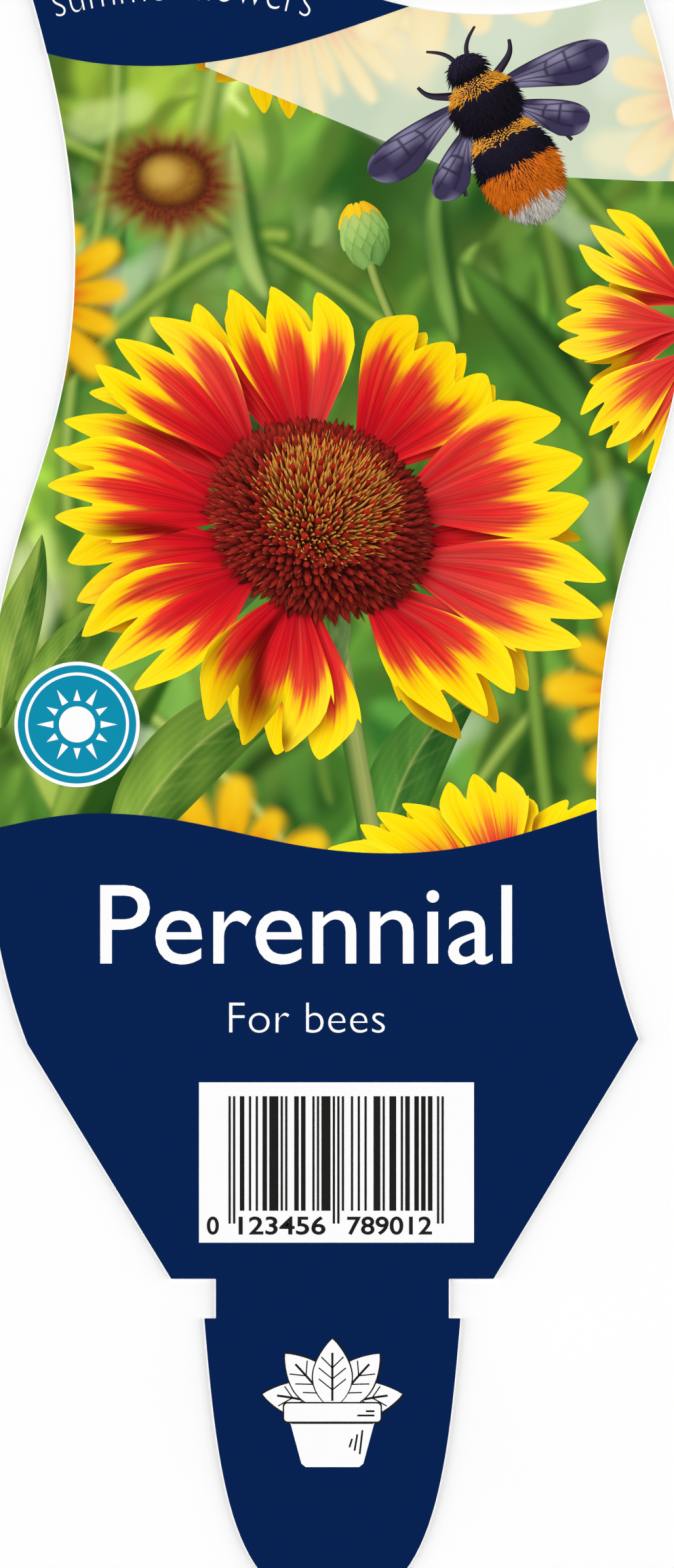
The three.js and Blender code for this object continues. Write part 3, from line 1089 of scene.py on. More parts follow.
def floret_tree():
    """Sets a floret on a dome again and again, in a sunflower's spiral, each turned outwards.

    Each keeps its place, from 0 at the crown to 1 at the rim, as the attribute `ring`, and its points
    keep their height in the floret as `along`."""
    tree = bpy.data.node_groups.new("disc_florets", "GeometryNodeTree")
    kinds = {"Floret": "Object", "Material": "Material", "Count": "Int", "Radius": "Float"}
    kinds |= {"Height": "Float", "Size": "Vector", "Rim Growth": "Float", "Start": "Float"}
    inputs = {
        name: tree.interface.new_socket(name, in_out="INPUT", socket_type="NodeSocket" + kind).identifier
        for name, kind in kinds.items()
    }
    tree.interface.new_socket("Geometry", in_out="OUTPUT", socket_type="NodeSocketGeometry")
    given = node(tree, "NodeGroupInput").outputs
    index = node(tree, "GeometryNodeInputIndex")
    after = node(tree, "ShaderNodeMath", index, given["Start"], operation="ADD")
    share = node(tree, "ShaderNodeMath", after, given["Count"], operation="DIVIDE")
    ring = node(tree, "ShaderNodeMath", share, 0.5, operation="POWER")
    slope = node(tree, "ShaderNodeMath", ring, math.radians(86), operation="MULTIPLY")
    turn = node(tree, "ShaderNodeMath", after, GOLDEN_ANGLE, operation="MULTIPLY")
    outward, north = (node(tree, "ShaderNodeMath", angle, operation="SINE") for angle in (slope, turn))
    upward, east = (node(tree, "ShaderNodeMath", angle, operation="COSINE") for angle in (slope, turn))
    x, y = (node(tree, "ShaderNodeMath", outward, way, operation="MULTIPLY") for way in (east, north))
    way = node(tree, "ShaderNodeCombineXYZ", x, y, upward)
    reach = node(tree, "ShaderNodeCombineXYZ", given["Radius"], given["Radius"], given["Height"])
    place = node(tree, "ShaderNodeVectorMath", way, reach, operation="MULTIPLY")
    points = node(tree, "GeometryNodePoints", {"Count": given["Count"], "Position": place})
    facing = node(tree, "FunctionNodeAlignRotationToVector", {"Vector": way}, axis="Z")
    growth = {"Value": ring, "To Min": 1.0, "To Max": given["Rim Growth"]}
    growth = node(tree, "ShaderNodeMapRange", growth)
    size = {0: given["Size"], "Scale": growth}
    size = node(tree, "ShaderNodeVectorMath", size, operation="SCALE")
    floret = node(tree, "GeometryNodeObjectInfo", {"Object": given["Floret"]}).outputs["Geometry"]
    height = node(tree, "ShaderNodeSeparateXYZ", node(tree, "GeometryNodeInputPosition")).outputs["Z"]
    floret = {"Geometry": floret, "Name": "along", "Value": height}
    floret = node(tree, "GeometryNodeStoreNamedAttribute", floret)
    points = {"Geometry": points, "Name": "ring", "Value": ring}
    points = node(tree, "GeometryNodeStoreNamedAttribute", points)
    placed = {"Points": points, "Instance": floret, "Rotation": facing, "Scale": size}
    placed = node(tree, "GeometryNodeInstanceOnPoints", placed)
    real = node(tree, "GeometryNodeRealizeInstances", placed)
    inked = node(tree, "GeometryNodeSetMaterial", {"Geometry": real, "Material": given["Material"]})
    node(tree, "NodeGroupOutput", inked)
    return tree, inputs


FLORET_TREE, FLORET_INPUTS = floret_tree()


def grown_florets(shape, radius, height, count, size, growth, start):
    """The florets that the tree sets on a dome, each a row of points: the points' places and normals, each
    floret's ring, and the points' heights in their floret."""
    points, faces = shape
    floret = mesh_object("floret", points, faces)
    host = mesh_object("floret_host", [], [])
    modifier = host.modifiers.new("florets", "NODES")
    modifier.node_group = FLORET_TREE
    settings = {"Floret": floret, "Material": PICTURE[0], "Count": count, "Radius": radius * MM}
    settings |= {"Height": height * MM, "Size": size, "Rim Growth": growth, "Start": start}
    for name, value in settings.items():
        modifier[FLORET_INPUTS[name]] = value
    evaluated = host.evaluated_get(bpy.context.evaluated_depsgraph_get())
    mesh = bpy.data.meshes.new_from_object(evaluated)
    places = np.array([v.co for v in mesh.vertices]).reshape(-1, len(points), 3) / MM
    normals = np.array([v.normal for v in mesh.vertices]).reshape(places.shape)
    ring, along = (
        np.array([item.value for item in mesh.attributes[name].data]).reshape(places.shape[:2])
        for name in ("ring", "along")
    )
    bpy.data.objects.remove(host)
    bpy.data.objects.remove(floret)
    return places, normals, ring[:, 0], along / MM


def repeated_faces(faces, points, count):
    """The faces of many copies of a shape, whose points follow one another."""
    return [tuple(int(i) + points * copy for i in face) for copy in range(count) for face in faces]


def disc_parts(view):
    """The disc's florets, in the picture's frame: points, normals, faces and colours of each kind."""
    draw = np.random.default_rng(5)
    parts = []
    for spike, (inner, outer), inks, tone, spiral in FLORETS:
        shape = spindle(*spike)
        places, normals, ring, along = grown_florets(shape, DISC_RADIUS, DISC_HEIGHT, *spiral)
        edge = ring + draw.normal(0, 0.02, len(ring))
        kept = (edge >= inner) & (edge <= outer)
        places, normals, along = places[kept], normals[kept], along[kept]
        count = len(places)
        tones = 1 + tone * draw.uniform(-1, 1, count)
        colours = between(*inks, soft_step(0.1, 1.0, along)) * tones[:, None, None]
        length = spiral[1][2]
        sway = draw.normal(0, 0.10, (count, 1, 3)) * along[..., None] * length
        points, towards = (rows.reshape(-1, 3) @ view.T for rows in (places + sway, normals))
        faces = repeated_faces(shape[1], len(shape[0]), count)
        parts.append((points, towards, faces, colours.reshape(-1, 3)))
    return parts


def smoothed(values):
    """A grid's values, each drawn twice towards its neighbours'."""
    for axis in (0, 1, 0, 1):
        last = values.shape[axis] - 1
        here = np.arange(last + 1)
        before = np.take(values, np.maximum(here - 1, 0), axis)
        after = np.take(values, np.minimum(here + 1, last), axis)
        values = 0.25 * before + 0.5 * values + 0.25 * after
    return values


def print_petals(name, petals, tree, place, base, step, first=0, heart=1.0):
    """Presses petals flat, each in its layer, with the light that falls on them. Their shade is warm,
    because the sun also comes through them. The heart is how much of the way from the yellow tips to the
    red root shows. They are numbered on from the first, so that no two have the same streaks."""
    u, v = shares(PETAL_ACROSS, PETAL_ALONG)
    furrows = np.exp(-(((np.abs(u) - 0.33) / 0.09) ** 2)) + 0.6 * np.exp(-(((np.abs(u) - 0.7) / 0.07) ** 2))
    furrows = 1 - 0.24 * furrows * np.sin(math.pi * np.minimum(1, 0.15 + v * 1.05))
    for number, (grid, layer) in enumerate(petals):
        light, sheen = grid_light(grid, tree)
        light = np.minimum(1.15, light ** (0.6, 1, 1)).reshape(grid.shape)
        light = (smoothed(light) * furrows[..., None]).reshape(-1, 3)
        sheen = smoothed(sheen.reshape(grid.shape[:2])).ravel()
        depth = grid[..., 2].ravel()
        depth = np.clip((depth - depth.mean()) * PRESS, -0.4, 0.4) * step
        vertices, faces, rim = film_over(within_edges(grid + place), SHEET_TOP, base + layer * step + depth)
        piece = cut_object("%s_%02d" % (name, number + 1), vertices, faces)
        across, along, lower = grid_layout(grid, rim)
        lay_out(piece, across, along, lower > 0)
        petal = np.stack([u, 1 - (1 - v) * heart, np.full(u.shape, first + number)], -1).reshape(-1, 3)
        values = {"petal": petal, "light": light, "sheen": sheen}
        set_values(piece, **{key: np.concatenate([data, data[rim]]) for key, data in values.items()})
        finish_piece(piece, PETALS)


def open_flower():
    """The open flower: its petals, printed one over the other, its bracts and its disc of florets, with
    the shade that they cast on each other."""
    draw = np.random.default_rng(11)
    view = bloom_view(BLOOM_LEAN, BLOOM_TOWARDS)
    petals = ray_petals(draw, DISC_RADIUS, WHORLS, PETAL_LENGTH, view)
    bracts = []
    for i in range(BRACTS):
        grid = bract_grid(
            length=draw.uniform(12, 17),
            width=draw.uniform(2.6, 3.8),
            root=DISC_RADIUS * 0.75,
            pitch=math.radians(draw.uniform(-14, 4)),
            recurve=math.radians(draw.uniform(10, 60)),
        )
        angle = 2 * math.pi * (i + draw.normal(0, 0.12)) / BRACTS
        bracts.append(turned(grid, angle) @ view.T - (0, 0, 1.0))
    disc = dome(DISC_RADIUS, DISC_HEIGHT) @ view.T
    florets = disc_parts(view)
    parts = [surface(grid) for grid in [petal for petal, _ in petals] + bracts + [disc]]
    tree = search_tree(parts + [(points, faces) for points, _, faces, _ in florets])
    print_petals("petal", petals, tree, BLOOM_PLACE, PETAL_BASE, LAYER)
    for number, grid in enumerate(bracts):
        ink = tint("#9CC26C") * grid_light(grid, tree)[0]
        print_painted("bract_%02d" % (number + 1), (grid + BLOOM_PLACE, BRACT_LEVEL, ink))
    lowest = disc[..., 2].min()
    press = lambda depth: DISC_BASE + np.maximum(0, depth - lowest) * DISC_PRESS
    ink = tint("#6A1810") * grid_light(disc, tree)[0]
    print_painted("disc_body", (disc + BLOOM_PLACE, press(disc[..., 2]), ink))
    for number, (points, normals, faces, colours) in enumerate(florets):
        towards = normals * np.where(normals[:, 2:] < 0, -1, 1)
        light, _ = picture_light(points, towards, tree, sky_reach=4.0, sun_reach=9.0)
        place = points + BLOOM_PLACE
        place[:, 2] = np.minimum(press(points[:, 2]), LABEL_TOP)
        print_florets("florets_%d" % (number + 1), place, faces, colours * light * 1.25)


def neighbour_blooms():
    """The petals of the blooms beside the open flower that reach into the picture."""
    for index, (name, centre, size, lean, towards, heart, whorls, (start, end)) in enumerate(NEIGHBOURS):
        draw = np.random.default_rng(30 + index)
        view = bloom_view(math.radians(lean), math.radians(towards))
        petals = ray_petals(draw, size * 0.44, whorls, size, view)
        shown = []
        for grid, layer in petals:
            tip = grid[-1].mean(0)
            if start <= math.degrees(math.atan2(tip[1], tip[0])) % 360 <= end:
                shown.append((grid, layer))
        tree = search_tree([surface(grid) for grid, _ in petals])
        place, first = np.array([*centre, 0.0]), 40 + 20 * index
        print_petals(name, shown, tree, place, NEIGHBOUR_BASE, NEIGHBOUR_LAYER, first, heart)


# ---------------------------------------------------------------------------------------------------
# The leaves and stems that are in focus, near the open flower

# Name, curve from the root to the tip, greatest width, layer, colours, and how much the halves differ.
LEAVES = [
    ("lower_left", ((-25, -10), (3, 9), (-11, -1), (-1, 10)), 9.0, 0.0024, ("#35732C", "#8CC05A"), 0.14),
    ("lower_middle", ((5, -14), (0, 10), (-7, -3), (17.5, 10)), 8.0, 0.0024, ("#2C6D34", "#5FAA50"), 0.15),
    ("left_upper", ((-39, 5), (0, 9), (-1, -8), (-34.2, 27.5)), 5.4, 0.0018, ("#3C7E30", "#A2CF6C"), 0.14),
    ("left_tip", ((-37, 8), (5, 5), (-5, -5), (-26.0, 20.5)), 4.4, 0.0024, ("#2F7230", "#8CC25C"), 0.14),
]
# Name, curve, half width, layer and colours.
STEMS = [
    ("open_flower", ((0, 16), (1, -8), (-1, 7), (4.5, -11)), 1.3, 0.0036, ("#45803A", "#B4CE8E")),
    ("bud", ((8, 46), (0, 5), (1.2, -5), (4.0, 59.4)), 0.6, 0.0030, ("#3F7A30", "#B9D98A")),
]
LEAF_VEINS = 9  # to each side of the midrib

BUD_PLACE, BUD_LENGTH, BUD_WIDTH, BUD_TILT = (3.2, 62.6), 7.6, 5.6, math.radians(14)
BUD_LEVEL = GROUND_TOP + 0.0040
BUD_STEP = 0.0010  # from one bract's ink to the next that overlaps it
# Its rows of bracts from the tip down: where they start, and their colours. The first shows the petals.
BUD_ROWS = [
    (0.62, "#D9921A", "#FFD21E"),
    (0.46, "#5F9436", "#B9D070"),
    (0.30, "#4C8A34", "#A9CC70"),
    (0.14, "#3F7A2E", "#97BE64"),
    (0.0, "#33692A", "#86B05A"),
]


def leaf(name, path, width, level, colours, fold, across=30, steps=70):
    """A leaf blade with its midrib and faint side veins, darker on the half turned from the sun."""
    half_widths = width / 2 * np.maximum(0.01, leaf_shape(np.linspace(0, 1, steps + 1)))
    grid = ribbon(bezier(*path, steps=steps), half_widths, across)
    u, v = shares(across, steps, 1, -1)
    waves = 0.16 * np.sin(7 * v + 2 * u) + 0.09 * np.sin(23 * v - 5 * u + 1) + 0.07 * np.sin(31 * u + 4 * v)
    ink = between(*colours, np.clip(0.5 + fold * np.tanh(u * 9) * 2 + waves, 0, 1))
    rib = 0.45 * np.exp(-((u / 0.05) ** 2)) * (1 - 0.5 * v)
    from_vein = ((v - 0.22 * np.abs(u)) * LEAF_VEINS) % 1 - 0.5
    side_vein = 0.13 * np.exp(-((from_vein / 0.10) ** 2)) * (1 - np.abs(u))
    ink = paint(ink, "#CBE09A", np.clip(rib + side_vein, 0, 1))
    ink = ink * (1 - 0.25 * np.abs(u) ** 4 + 0.10 * np.sin(3.1 * v + 1))[..., None]
    print_painted("leaf_" + name, (grid, GROUND_TOP + level, graded(ink, 0.2)))


def stem(name, path, half_width, level, colours, across=10, steps=60):
    """A round stem, light along its middle, with faint furrows."""
    grid = ribbon(bezier(*path, steps=steps), np.full(steps + 1, half_width), across)
    u, v = shares(across, steps, 1, -1)
    share = np.clip(np.cos(1.35 * (u - 0.3)), 0, 1) ** 1.6 * (0.86 + 0.10 * np.sin(14 * u + 5 * v))
    print_painted("stem_" + name, (grid, GROUND_TOP + level, graded(between(*colours, share), 0.0)))


def bud():
    """A closed flower bud: green bracts that overlap like tiles, with the first yellow at the tip."""

    def on_bud(x, up):
        x, y = spun(x, BUD_LENGTH * (up - 0.5), BUD_TILT)
        return np.stack([BUD_PLACE[0] + x, BUD_PLACE[1] + y], -1)

    def half(up):
        return BUD_WIDTH / 2 * np.sin(math.pi * np.clip(0.04 + 0.92 * up**0.9, 0, 1)) ** 0.6

    u, v = shares(20, 30, -0.96, 0.96)
    body = on_bud(half(0.97 * v) * u, 0.97 * v)
    patches = [(body, BUD_LEVEL, between("#2C5A22", "#6E8E3A", np.clip(0.6 - 0.5 * u, 0, 1)))]
    u, v = shares(8, 16, 1, -1)
    along = v[:, 0]
    for row, (start, dark, light) in enumerate(BUD_ROWS):
        for i in range(5):
            around = math.radians(-72 + 36 * (i + 0.5 * (row % 2)))
            up = start + along * 0.36
            path = on_bud(half(up) * math.sin(around) * (0.96 - 0.10 * along), up)
            widths = 0.38 * half(0.5) * max(0.40, math.cos(around))
            grid = ribbon(path, widths * np.sin(math.pi * (0.26 + 0.73 * along)) ** 0.8)
            lit = 0.75 - 0.35 * math.sin(around) + 0.25 * v - 0.45 * np.abs(u) ** 2
            height = BUD_LEVEL + BUD_STEP * (1 + row * 2 + i % 2)
            patches.append((grid, height, between(dark, light, np.clip(lit, 0, 1))))
    print_painted("flower_bud", *patches)


def foliage():
    """The leaves, the stems and the bud."""
    for settings in LEAVES:
        leaf(*settings)
    for settings in STEMS:
        stem(*settings)
    bud()


# ---------------------------------------------------------------------------------------------------
# The bumblebee on the pale wash, seen from above, with its head towards +y in its own frame

BEE_PLACE = np.array([18.4, 75.6, 0.0])
BEE_HEADING = math.radians(118)
BEE_PRESS = 0.0022  # how much of its depth the bee keeps
BEE_STEP = 0.0004  # from one furry part to the next
LIMB_LEVEL = BEE_LEVEL - 0.0060
HAIRS = 62  # to a square millimetre of a furry part's half width by half length
HAIR_SIZE = (0.26, 0.26, 1.0)

# The bee's furry parts: centre, half width, half length, height, and the fur's bands from tail to head.
BEE_ABDOMEN = [(0.0, "#F3EDE0"), (0.17, "#F07818"), (0.50, "#14121E"), (0.74, "#F2A01C"), (0.86, "#17141F")]
BEE_THORAX = [(0.0, "#191521"), (0.66, "#F2A01C"), (0.93, "#1B1722")]
BEE_PARTS = [
    ("bee_abdomen", (0, -5.6), 4.5, 6.3, 3.6, BEE_ABDOMEN),
    ("bee_thorax", (0, 2.4), 3.9, 3.7, 4.4, BEE_THORAX),
    ("bee_head", (0, 6.9), 2.2, 1.7, 3.2, [(0.0, "#15131C"), (0.5, "#241D2B")]),
]

# The right one of each pair of legs and feelers: name, the left one's number, curve, half widths.
BEE_LIMBS = [
    ("bee_leg_%d", 1, ((2.6, 4.6), (2.4, 1.2), (-0.4, -1.6), (6.0, 7.6)), (0.52, 0.20)),
    ("bee_leg_%d", 3, ((3.0, -1.0), (3.0, -0.6), (-0.6, 1.8), (7.0, -6.2)), (0.52, 0.20)),
    ("bee_feeler_%d", 1, ((0.8, 8.0), (0.2, 1.6), (-0.8, -0.5), (3.2, 10.8)), (0.30, 0.14)),
]
# The wings: name, root of the right one, length, width, angle, and how far they lie under the body.
BEE_WINGS = [
    ("bee_hind_wing", (2.4, 0.6), 9.4, 4.6, math.radians(-36), 0.0045),
    ("bee_fore_wing", (2.6, 3.2), 13.2, 5.4, math.radians(-8), 0.0030),
]
# A wing's veins, as paths: how far across the wing, from -1 to 1, and how far along it, from 0 to 1.
WING_VEINS = [
    [(-0.92, 0.0), (-0.94, 0.5), (-0.9, 0.86)],
    [(-0.45, 0.0), (-0.55, 0.45), (-0.85, 0.74)],
    [(-0.3, 0.05), (-0.1, 0.4), (-0.25, 0.72), (-0.4, 0.9)],
    [(0.0, 0.05), (0.35, 0.4), (0.5, 0.8)],
    [(0.1, 0.08), (0.75, 0.42), (0.92, 0.52)],
    [(-0.55, 0.45), (-0.1, 0.42), (0.35, 0.42)],
    [(-0.72, 0.62), (-0.2, 0.62), (0.42, 0.62)],
]
VEIN_WIDTH = 0.17


def bee_frame(points):
    """Turns points from the bee's own frame to the picture."""
    return turned(points, BEE_HEADING - math.pi / 2) + BEE_PLACE


def bee_fur(number, name, centre, wide, long, tall, bands):
    """A dark rounded body under a coat of short hairs that lie back towards the tail."""
    draw = np.random.default_rng(70 + number)
    centre = np.array([*centre, 0.0])
    body = bee_frame(dome(1.0, tall, 12, 40) * (wide, long, 1) + centre)
    press = lambda depth: BEE_LEVEL + BEE_STEP * number + depth * BEE_PRESS
    dark = np.tile(tint("#1A1620"), (body[..., 0].size, 1))
    print_painted(name, (body, press(body[..., 2]), dark))
    count = int(HAIRS * wide * long)
    hair = spindle(3, [(0.5, 0.0), (0.45, 0.45)])
    places, _, _, along = grown_florets(hair, 1.0, tall, count, HAIR_SIZE, 1.15, 0.3)
    roots = places[:, :1] * (wide - 0.25, long - 0.25, 1) + centre
    strands = (places - places[:, :1]) * (0.9, 0.9, 0.8)
    strands[..., 1] -= 0.75 * along**1.4
    strands = strands + draw.normal(0, 0.12, (count, 1, 3)) * along[..., None]
    share = (roots[:, 0, 1] - centre[1] + long) / (2 * long) + draw.normal(0, 0.014, count)
    colour = np.tile(tint(bands[0][1]), (count, 1))
    for start, hex_colour in bands:
        colour[share >= start] = tint(hex_colour)
    tone = (0.75 + 0.5 * draw.random(count))[:, None, None] * (0.55 + 0.55 * along)[..., None]
    outward = (roots - centre + (0, 0, 1.5)) / (wide, long, tall)
    outward /= np.linalg.norm(outward, axis=-1)[..., None]
    facing = np.clip((bee_frame(outward) - BEE_PLACE) @ np.array(SUN), 0, 1)[..., None]
    ink = colour[:, None] * tone * (0.55 + 0.65 * facing) + tint("#5A5488") * 0.22 * facing**6
    points = bee_frame(roots + strands)
    points[..., 2] = np.minimum(press(points[..., 2] + 0.25), LABEL_TOP)
    print_florets(name + "_fur", points.reshape(-1, 3), repeated_faces(hair[1], len(hair[0]), count), ink)


def wing(name, side, root, length, width, angle, below):
    """A smoky wing with its veins, from a root near the thorax; its side is 1 on the right."""
    u, v = shares(34, 70)
    shape = 1.12 * np.sqrt(np.clip(0.02 + v**0.75 * (1 - v**5), 0, 1))
    x = width * u * np.where(u > 0, 0.60 * np.minimum(1, 0.35 + v), 0.40) * shape
    x, y = spun(length * v, -x, angle)
    grid = bee_frame(np.dstack([side * (root[0] + x), root[1] + y, 0 * x]))
    u, v = u.ravel(), v.ravel()
    glow = np.clip(0.25 + 0.5 * np.sin(5 * v + 2 * u) + 0.25 * np.sin(11 * v - 3 * u), 0, 1)
    slim = width / length * 0.6
    distances = [near_path(u * slim, v, np.array(path) * (slim, 1))[0] for path in WING_VEINS]
    line = np.exp(-((np.min(distances, axis=0) * length / VEIN_WIDTH) ** 2))
    rim = soft_step(0.86, 1.0, np.abs(u)) * 0.5
    ink = paint(between("#3B3554", "#8E88A8", glow), "#2A2438", np.clip(line + rim, 0, 0.9))
    print_painted(name, (grid, BEE_LEVEL - below, ink))


def bee():
    """The bee's legs and feelers, then its wings, and its furry body on top."""
    for name, first, curve, (root, tip) in BEE_LIMBS:
        for number, side in enumerate((-1, 1), first):
            path = bezier(*[np.array(point) * (side, 1) for point in curve])
            grid = ribbon(path, np.linspace(root, tip, len(path)), 6)
            place = bee_frame(np.dstack([grid, np.zeros(grid.shape[:2])]))
            u, _ = shares(6, len(path) - 1, 1, -1)
            ink = between("#15121A", "#3A3346", np.clip(np.cos(1.4 * (u - 0.3)), 0, 1) ** 2)
            print_painted(name % number, (place, LIMB_LEVEL, ink))
    for name, *sizes in BEE_WINGS:
        wing(name + "_left", -1, *sizes)
        wing(name + "_right", 1, *sizes)
    for number, part in enumerate(BEE_PARTS):
        bee_fur(number, *part)


# ---------------------------------------------------------------------------------------------------
# Lettering and signs

CODE_NUMBER = "0123456789012"  # the running digits of a sample code
# The seven modules of each digit in a retail code's left half; the right half is the same, inverted.
DIGIT_MODULES = "0001101 0011001 0010011 0111101 0100011 0110001 0101111 0111011 0110111 0001011".split()
CODE_LEFT, CODE_RIGHT = -12.48, 12.56
CODE_TOP, CODE_BOTTOM, GUARD_BOTTOM = -37.85, -51.18, -52.68
CODE_PANEL = (-15.91, -54.89, 16.07, -36.24)
# The groups of digits below the bars: the first, the one after the last, and the group's two sides.
CODE_GROUPS = [(0, 1, -15.0, -13.6), (1, 7, -11.3, -1.2), (7, 13, 1.32, 11.18)]
DIGIT_BASELINE, DIGIT_HEIGHT = -53.9, 1.98

BADGE_PLACE = np.array([-30.1, 5.4])
BADGE_RADII = 7.3, 6.88  # of the white rim and of the teal face
RING_RADII = 6.05, 5.7  # of the white ring round the sun
SUN_RADIUS = 2.1
BEAMS = 12
BEAM_ROOT, BEAM_HALF_WIDTH = 2.75, 0.42
BEAM_TIPS = 4.7, 4.1  # long and short beams take turns

EMBLEM_PLACE = np.array([-0.4, -81.0])
EMBLEM_ROOT = EMBLEM_PLACE + (0, 6.9)
EMBLEM_STEP = 0.0004  # from one layer of its ink to the next
LEAF_OUTLINE = 0.16
RIB_STARTS = 0.26, 0.42, 0.58  # where side ribs leave the midrib, as shares of a leaf's length
RIB_HALF_WIDTHS = 0.13, 0.075  # of the midrib and of the side ribs
# The young plant's leaves, from the rearmost: lean in degrees, length, width and bend.
EMBLEM_LEAVES = [
    (-72, 8.2, 4.2, -1.0),
    (72, 8.2, 4.2, 1.0),
    (-37, 8.3, 4.5, -0.6),
    (37, 8.3, 4.5, 0.6),
    (0, 8.0, 4.5, 0.0),
]
POT = np.array([(3.1, 0), (3.6, 0.4), (4.95, 5.4), (-4.95, 5.4), (-3.6, 0.4), (-3.1, 0)])
# The pot's shade under its rim, and the strokes that show its round side: the path and half the width.
POT_STROKES = [
    ([(-4.8, 5.14), (4.8, 5.14)], 0.12),
    ([(3.5, 4.3), (3.18, 1.5)], 0.11),
    ([(2.9, 3.8), (2.58, 1.9)], 0.11),
    ([(2.3, 3.3), (1.98, 2.3)], 0.11),
    ([(2.9, 6.0), (4.9, 6.0)], 0.11),
    ([(3.9, 6.5), (4.9, 6.5)], 0.11),
]


def letter_shapes(text, thin=0.0):
    """Lettering as points and faces: a closed solid from z 0 to 1, with its baseline on y 0."""
    curve = bpy.data.curves.new("letters", "FONT")
    curve.body = text
    curve.resolution_u = 5
    curve.extrude = 0.5
    curve.offset = -thin
    writing = bpy.data.objects.new("letters", curve)
    bpy.context.scene.collection.objects.link(writing)
    mesh = bpy.data.meshes.new_from_object(writing.evaluated_get(bpy.context.evaluated_depsgraph_get()))
    merged = bmesh.new()
    merged.from_mesh(mesh)
    bmesh.ops.remove_doubles(merged, verts=merged.verts, dist=1e-5)
    points = np.array([v.co for v in merged.verts])
    faces = [tuple(v.index for v in face.verts) for face in merged.faces]
    merged.free()
    bpy.data.objects.remove(writing)
    points[:, 2] += 0.5
    return points, faces


CAPITAL = np.ptp(letter_shapes("H")[0][:, 1])  # a capital's height at size 1


def print_line(name, text, left, right, baseline, capital, ink, thin, top=LETTER_TOP, radius=None):
    """A line of lettering between two sides, with the height of its capitals given, and how much thinner
    its strokes are drawn. With a radius it runs along an arc, whose middle is its highest point."""
    points, faces = letter_shapes(text, thin)
    low, high = points[:, 0].min(), points[:, 0].max()
    x = left + (points[:, 0] - low) * (right - left) / (high - low)
    y = points[:, 1] * capital / CAPITAL
    if radius:
        middle, reach = (left + right) / 2, radius + y
        around = (x - middle) / radius
        x, y = middle + reach * np.sin(around), reach * np.cos(around) - radius
    z = SHEET_TOP + points[:, 2] * (top - SHEET_TOP)
    finish_piece(mesh_object(name, np.stack([x, baseline + y, z], -1), faces), ink)


def rectangle(left, bottom, right, top):
    return np.array([(left, bottom), (right, bottom), (right, top), (left, top)])


def rounded(left, bottom, right, top, radius, steps=5):
    """A rectangle with round corners."""
    corners = rectangle(left + radius, bottom + radius, right - radius, top - radius)[[1, 2, 3, 0]]
    turn = np.radians(-90 + 90 * (np.arange(4)[:, None] + np.arange(steps + 1) / steps))
    return (corners[:, None] + radius * np.stack([np.cos(turn), np.sin(turn)], -1)).reshape(-1, 2)


def circle(radius, sides=96):
    """A circle about the badge's middle."""
    turn = 2 * math.pi * np.arange(sides) / sides
    return BADGE_PLACE + radius * np.stack([np.cos(turn), np.sin(turn)], -1)


def stroke(path, half_width):
    """The outline of a pen stroke along a path."""
    grid = ribbon(path, np.full(len(path), half_width), 1)
    return np.vstack([grid[:, 0], grid[::-1, 1]])


def code_bars():
    """The retail code's bars: three pairs of guards, and two for each digit."""
    halves = (CODE_NUMBER[1:7], CODE_NUMBER[7:])
    left, right = ("".join(DIGIT_MODULES[int(digit)] for digit in half) for half in halves)
    modules = "101" + left + "01010" + right.translate(str.maketrans("01", "10")) + "101"
    guards = [i < 3 or 45 <= i < 50 or i >= 92 for i in range(len(modules))]
    width = (CODE_RIGHT - CODE_LEFT) / len(modules)
    bars = []
    start = 0
    for (module, guard), run in itertools.groupby(zip(modules, guards)):
        end = start + len(list(run))
        if module == "1":
            bottom = GUARD_BOTTOM if guard else CODE_BOTTOM
            bars.append([rectangle(CODE_LEFT + start * width, bottom, CODE_LEFT + end * width, CODE_TOP)])
        start = end
    return bars


def code_panel():
    """The white panel with the retail code and its number."""
    print_film("code_panel", [[rectangle(*CODE_PANEL)]], LETTER_TOP, WHITE)
    print_film("code_bars", code_bars(), DETAIL_TOP, BLACK)
    for number, (first, last, left, right) in enumerate(CODE_GROUPS, 1):
        name, digits = "code_digits_%d" % number, CODE_NUMBER[first:last]
        print_line(name, digits, left, right, DIGIT_BASELINE, DIGIT_HEIGHT, BLACK, -0.016, DETAIL_TOP)


def sun_badge():
    """A round teal badge with a white rim. Its sun, in a ring, stands for a sunny place."""
    rim, face, ring, hollow, disc = (circle(r) for r in (*BADGE_RADII, *RING_RADII, SUN_RADIUS))
    print_film("badge_rim", [[rim]], LETTER_TOP - 0.006, WHITE)
    print_film("badge_face", [[face]], LETTER_TOP, TEAL)
    shapes = [[ring, hollow], [disc]]
    for i in range(BEAMS):
        along = np.array([BEAM_TIPS[i % 2], BEAM_ROOT, BEAM_ROOT])
        across = np.array([0, BEAM_HALF_WIDTH, -BEAM_HALF_WIDTH])
        shapes.append([np.stack(spun(along, across, 2 * math.pi * i / BEAMS), -1) + BADGE_PLACE])
    print_film("badge_sun", shapes, DETAIL_TOP, WHITE)


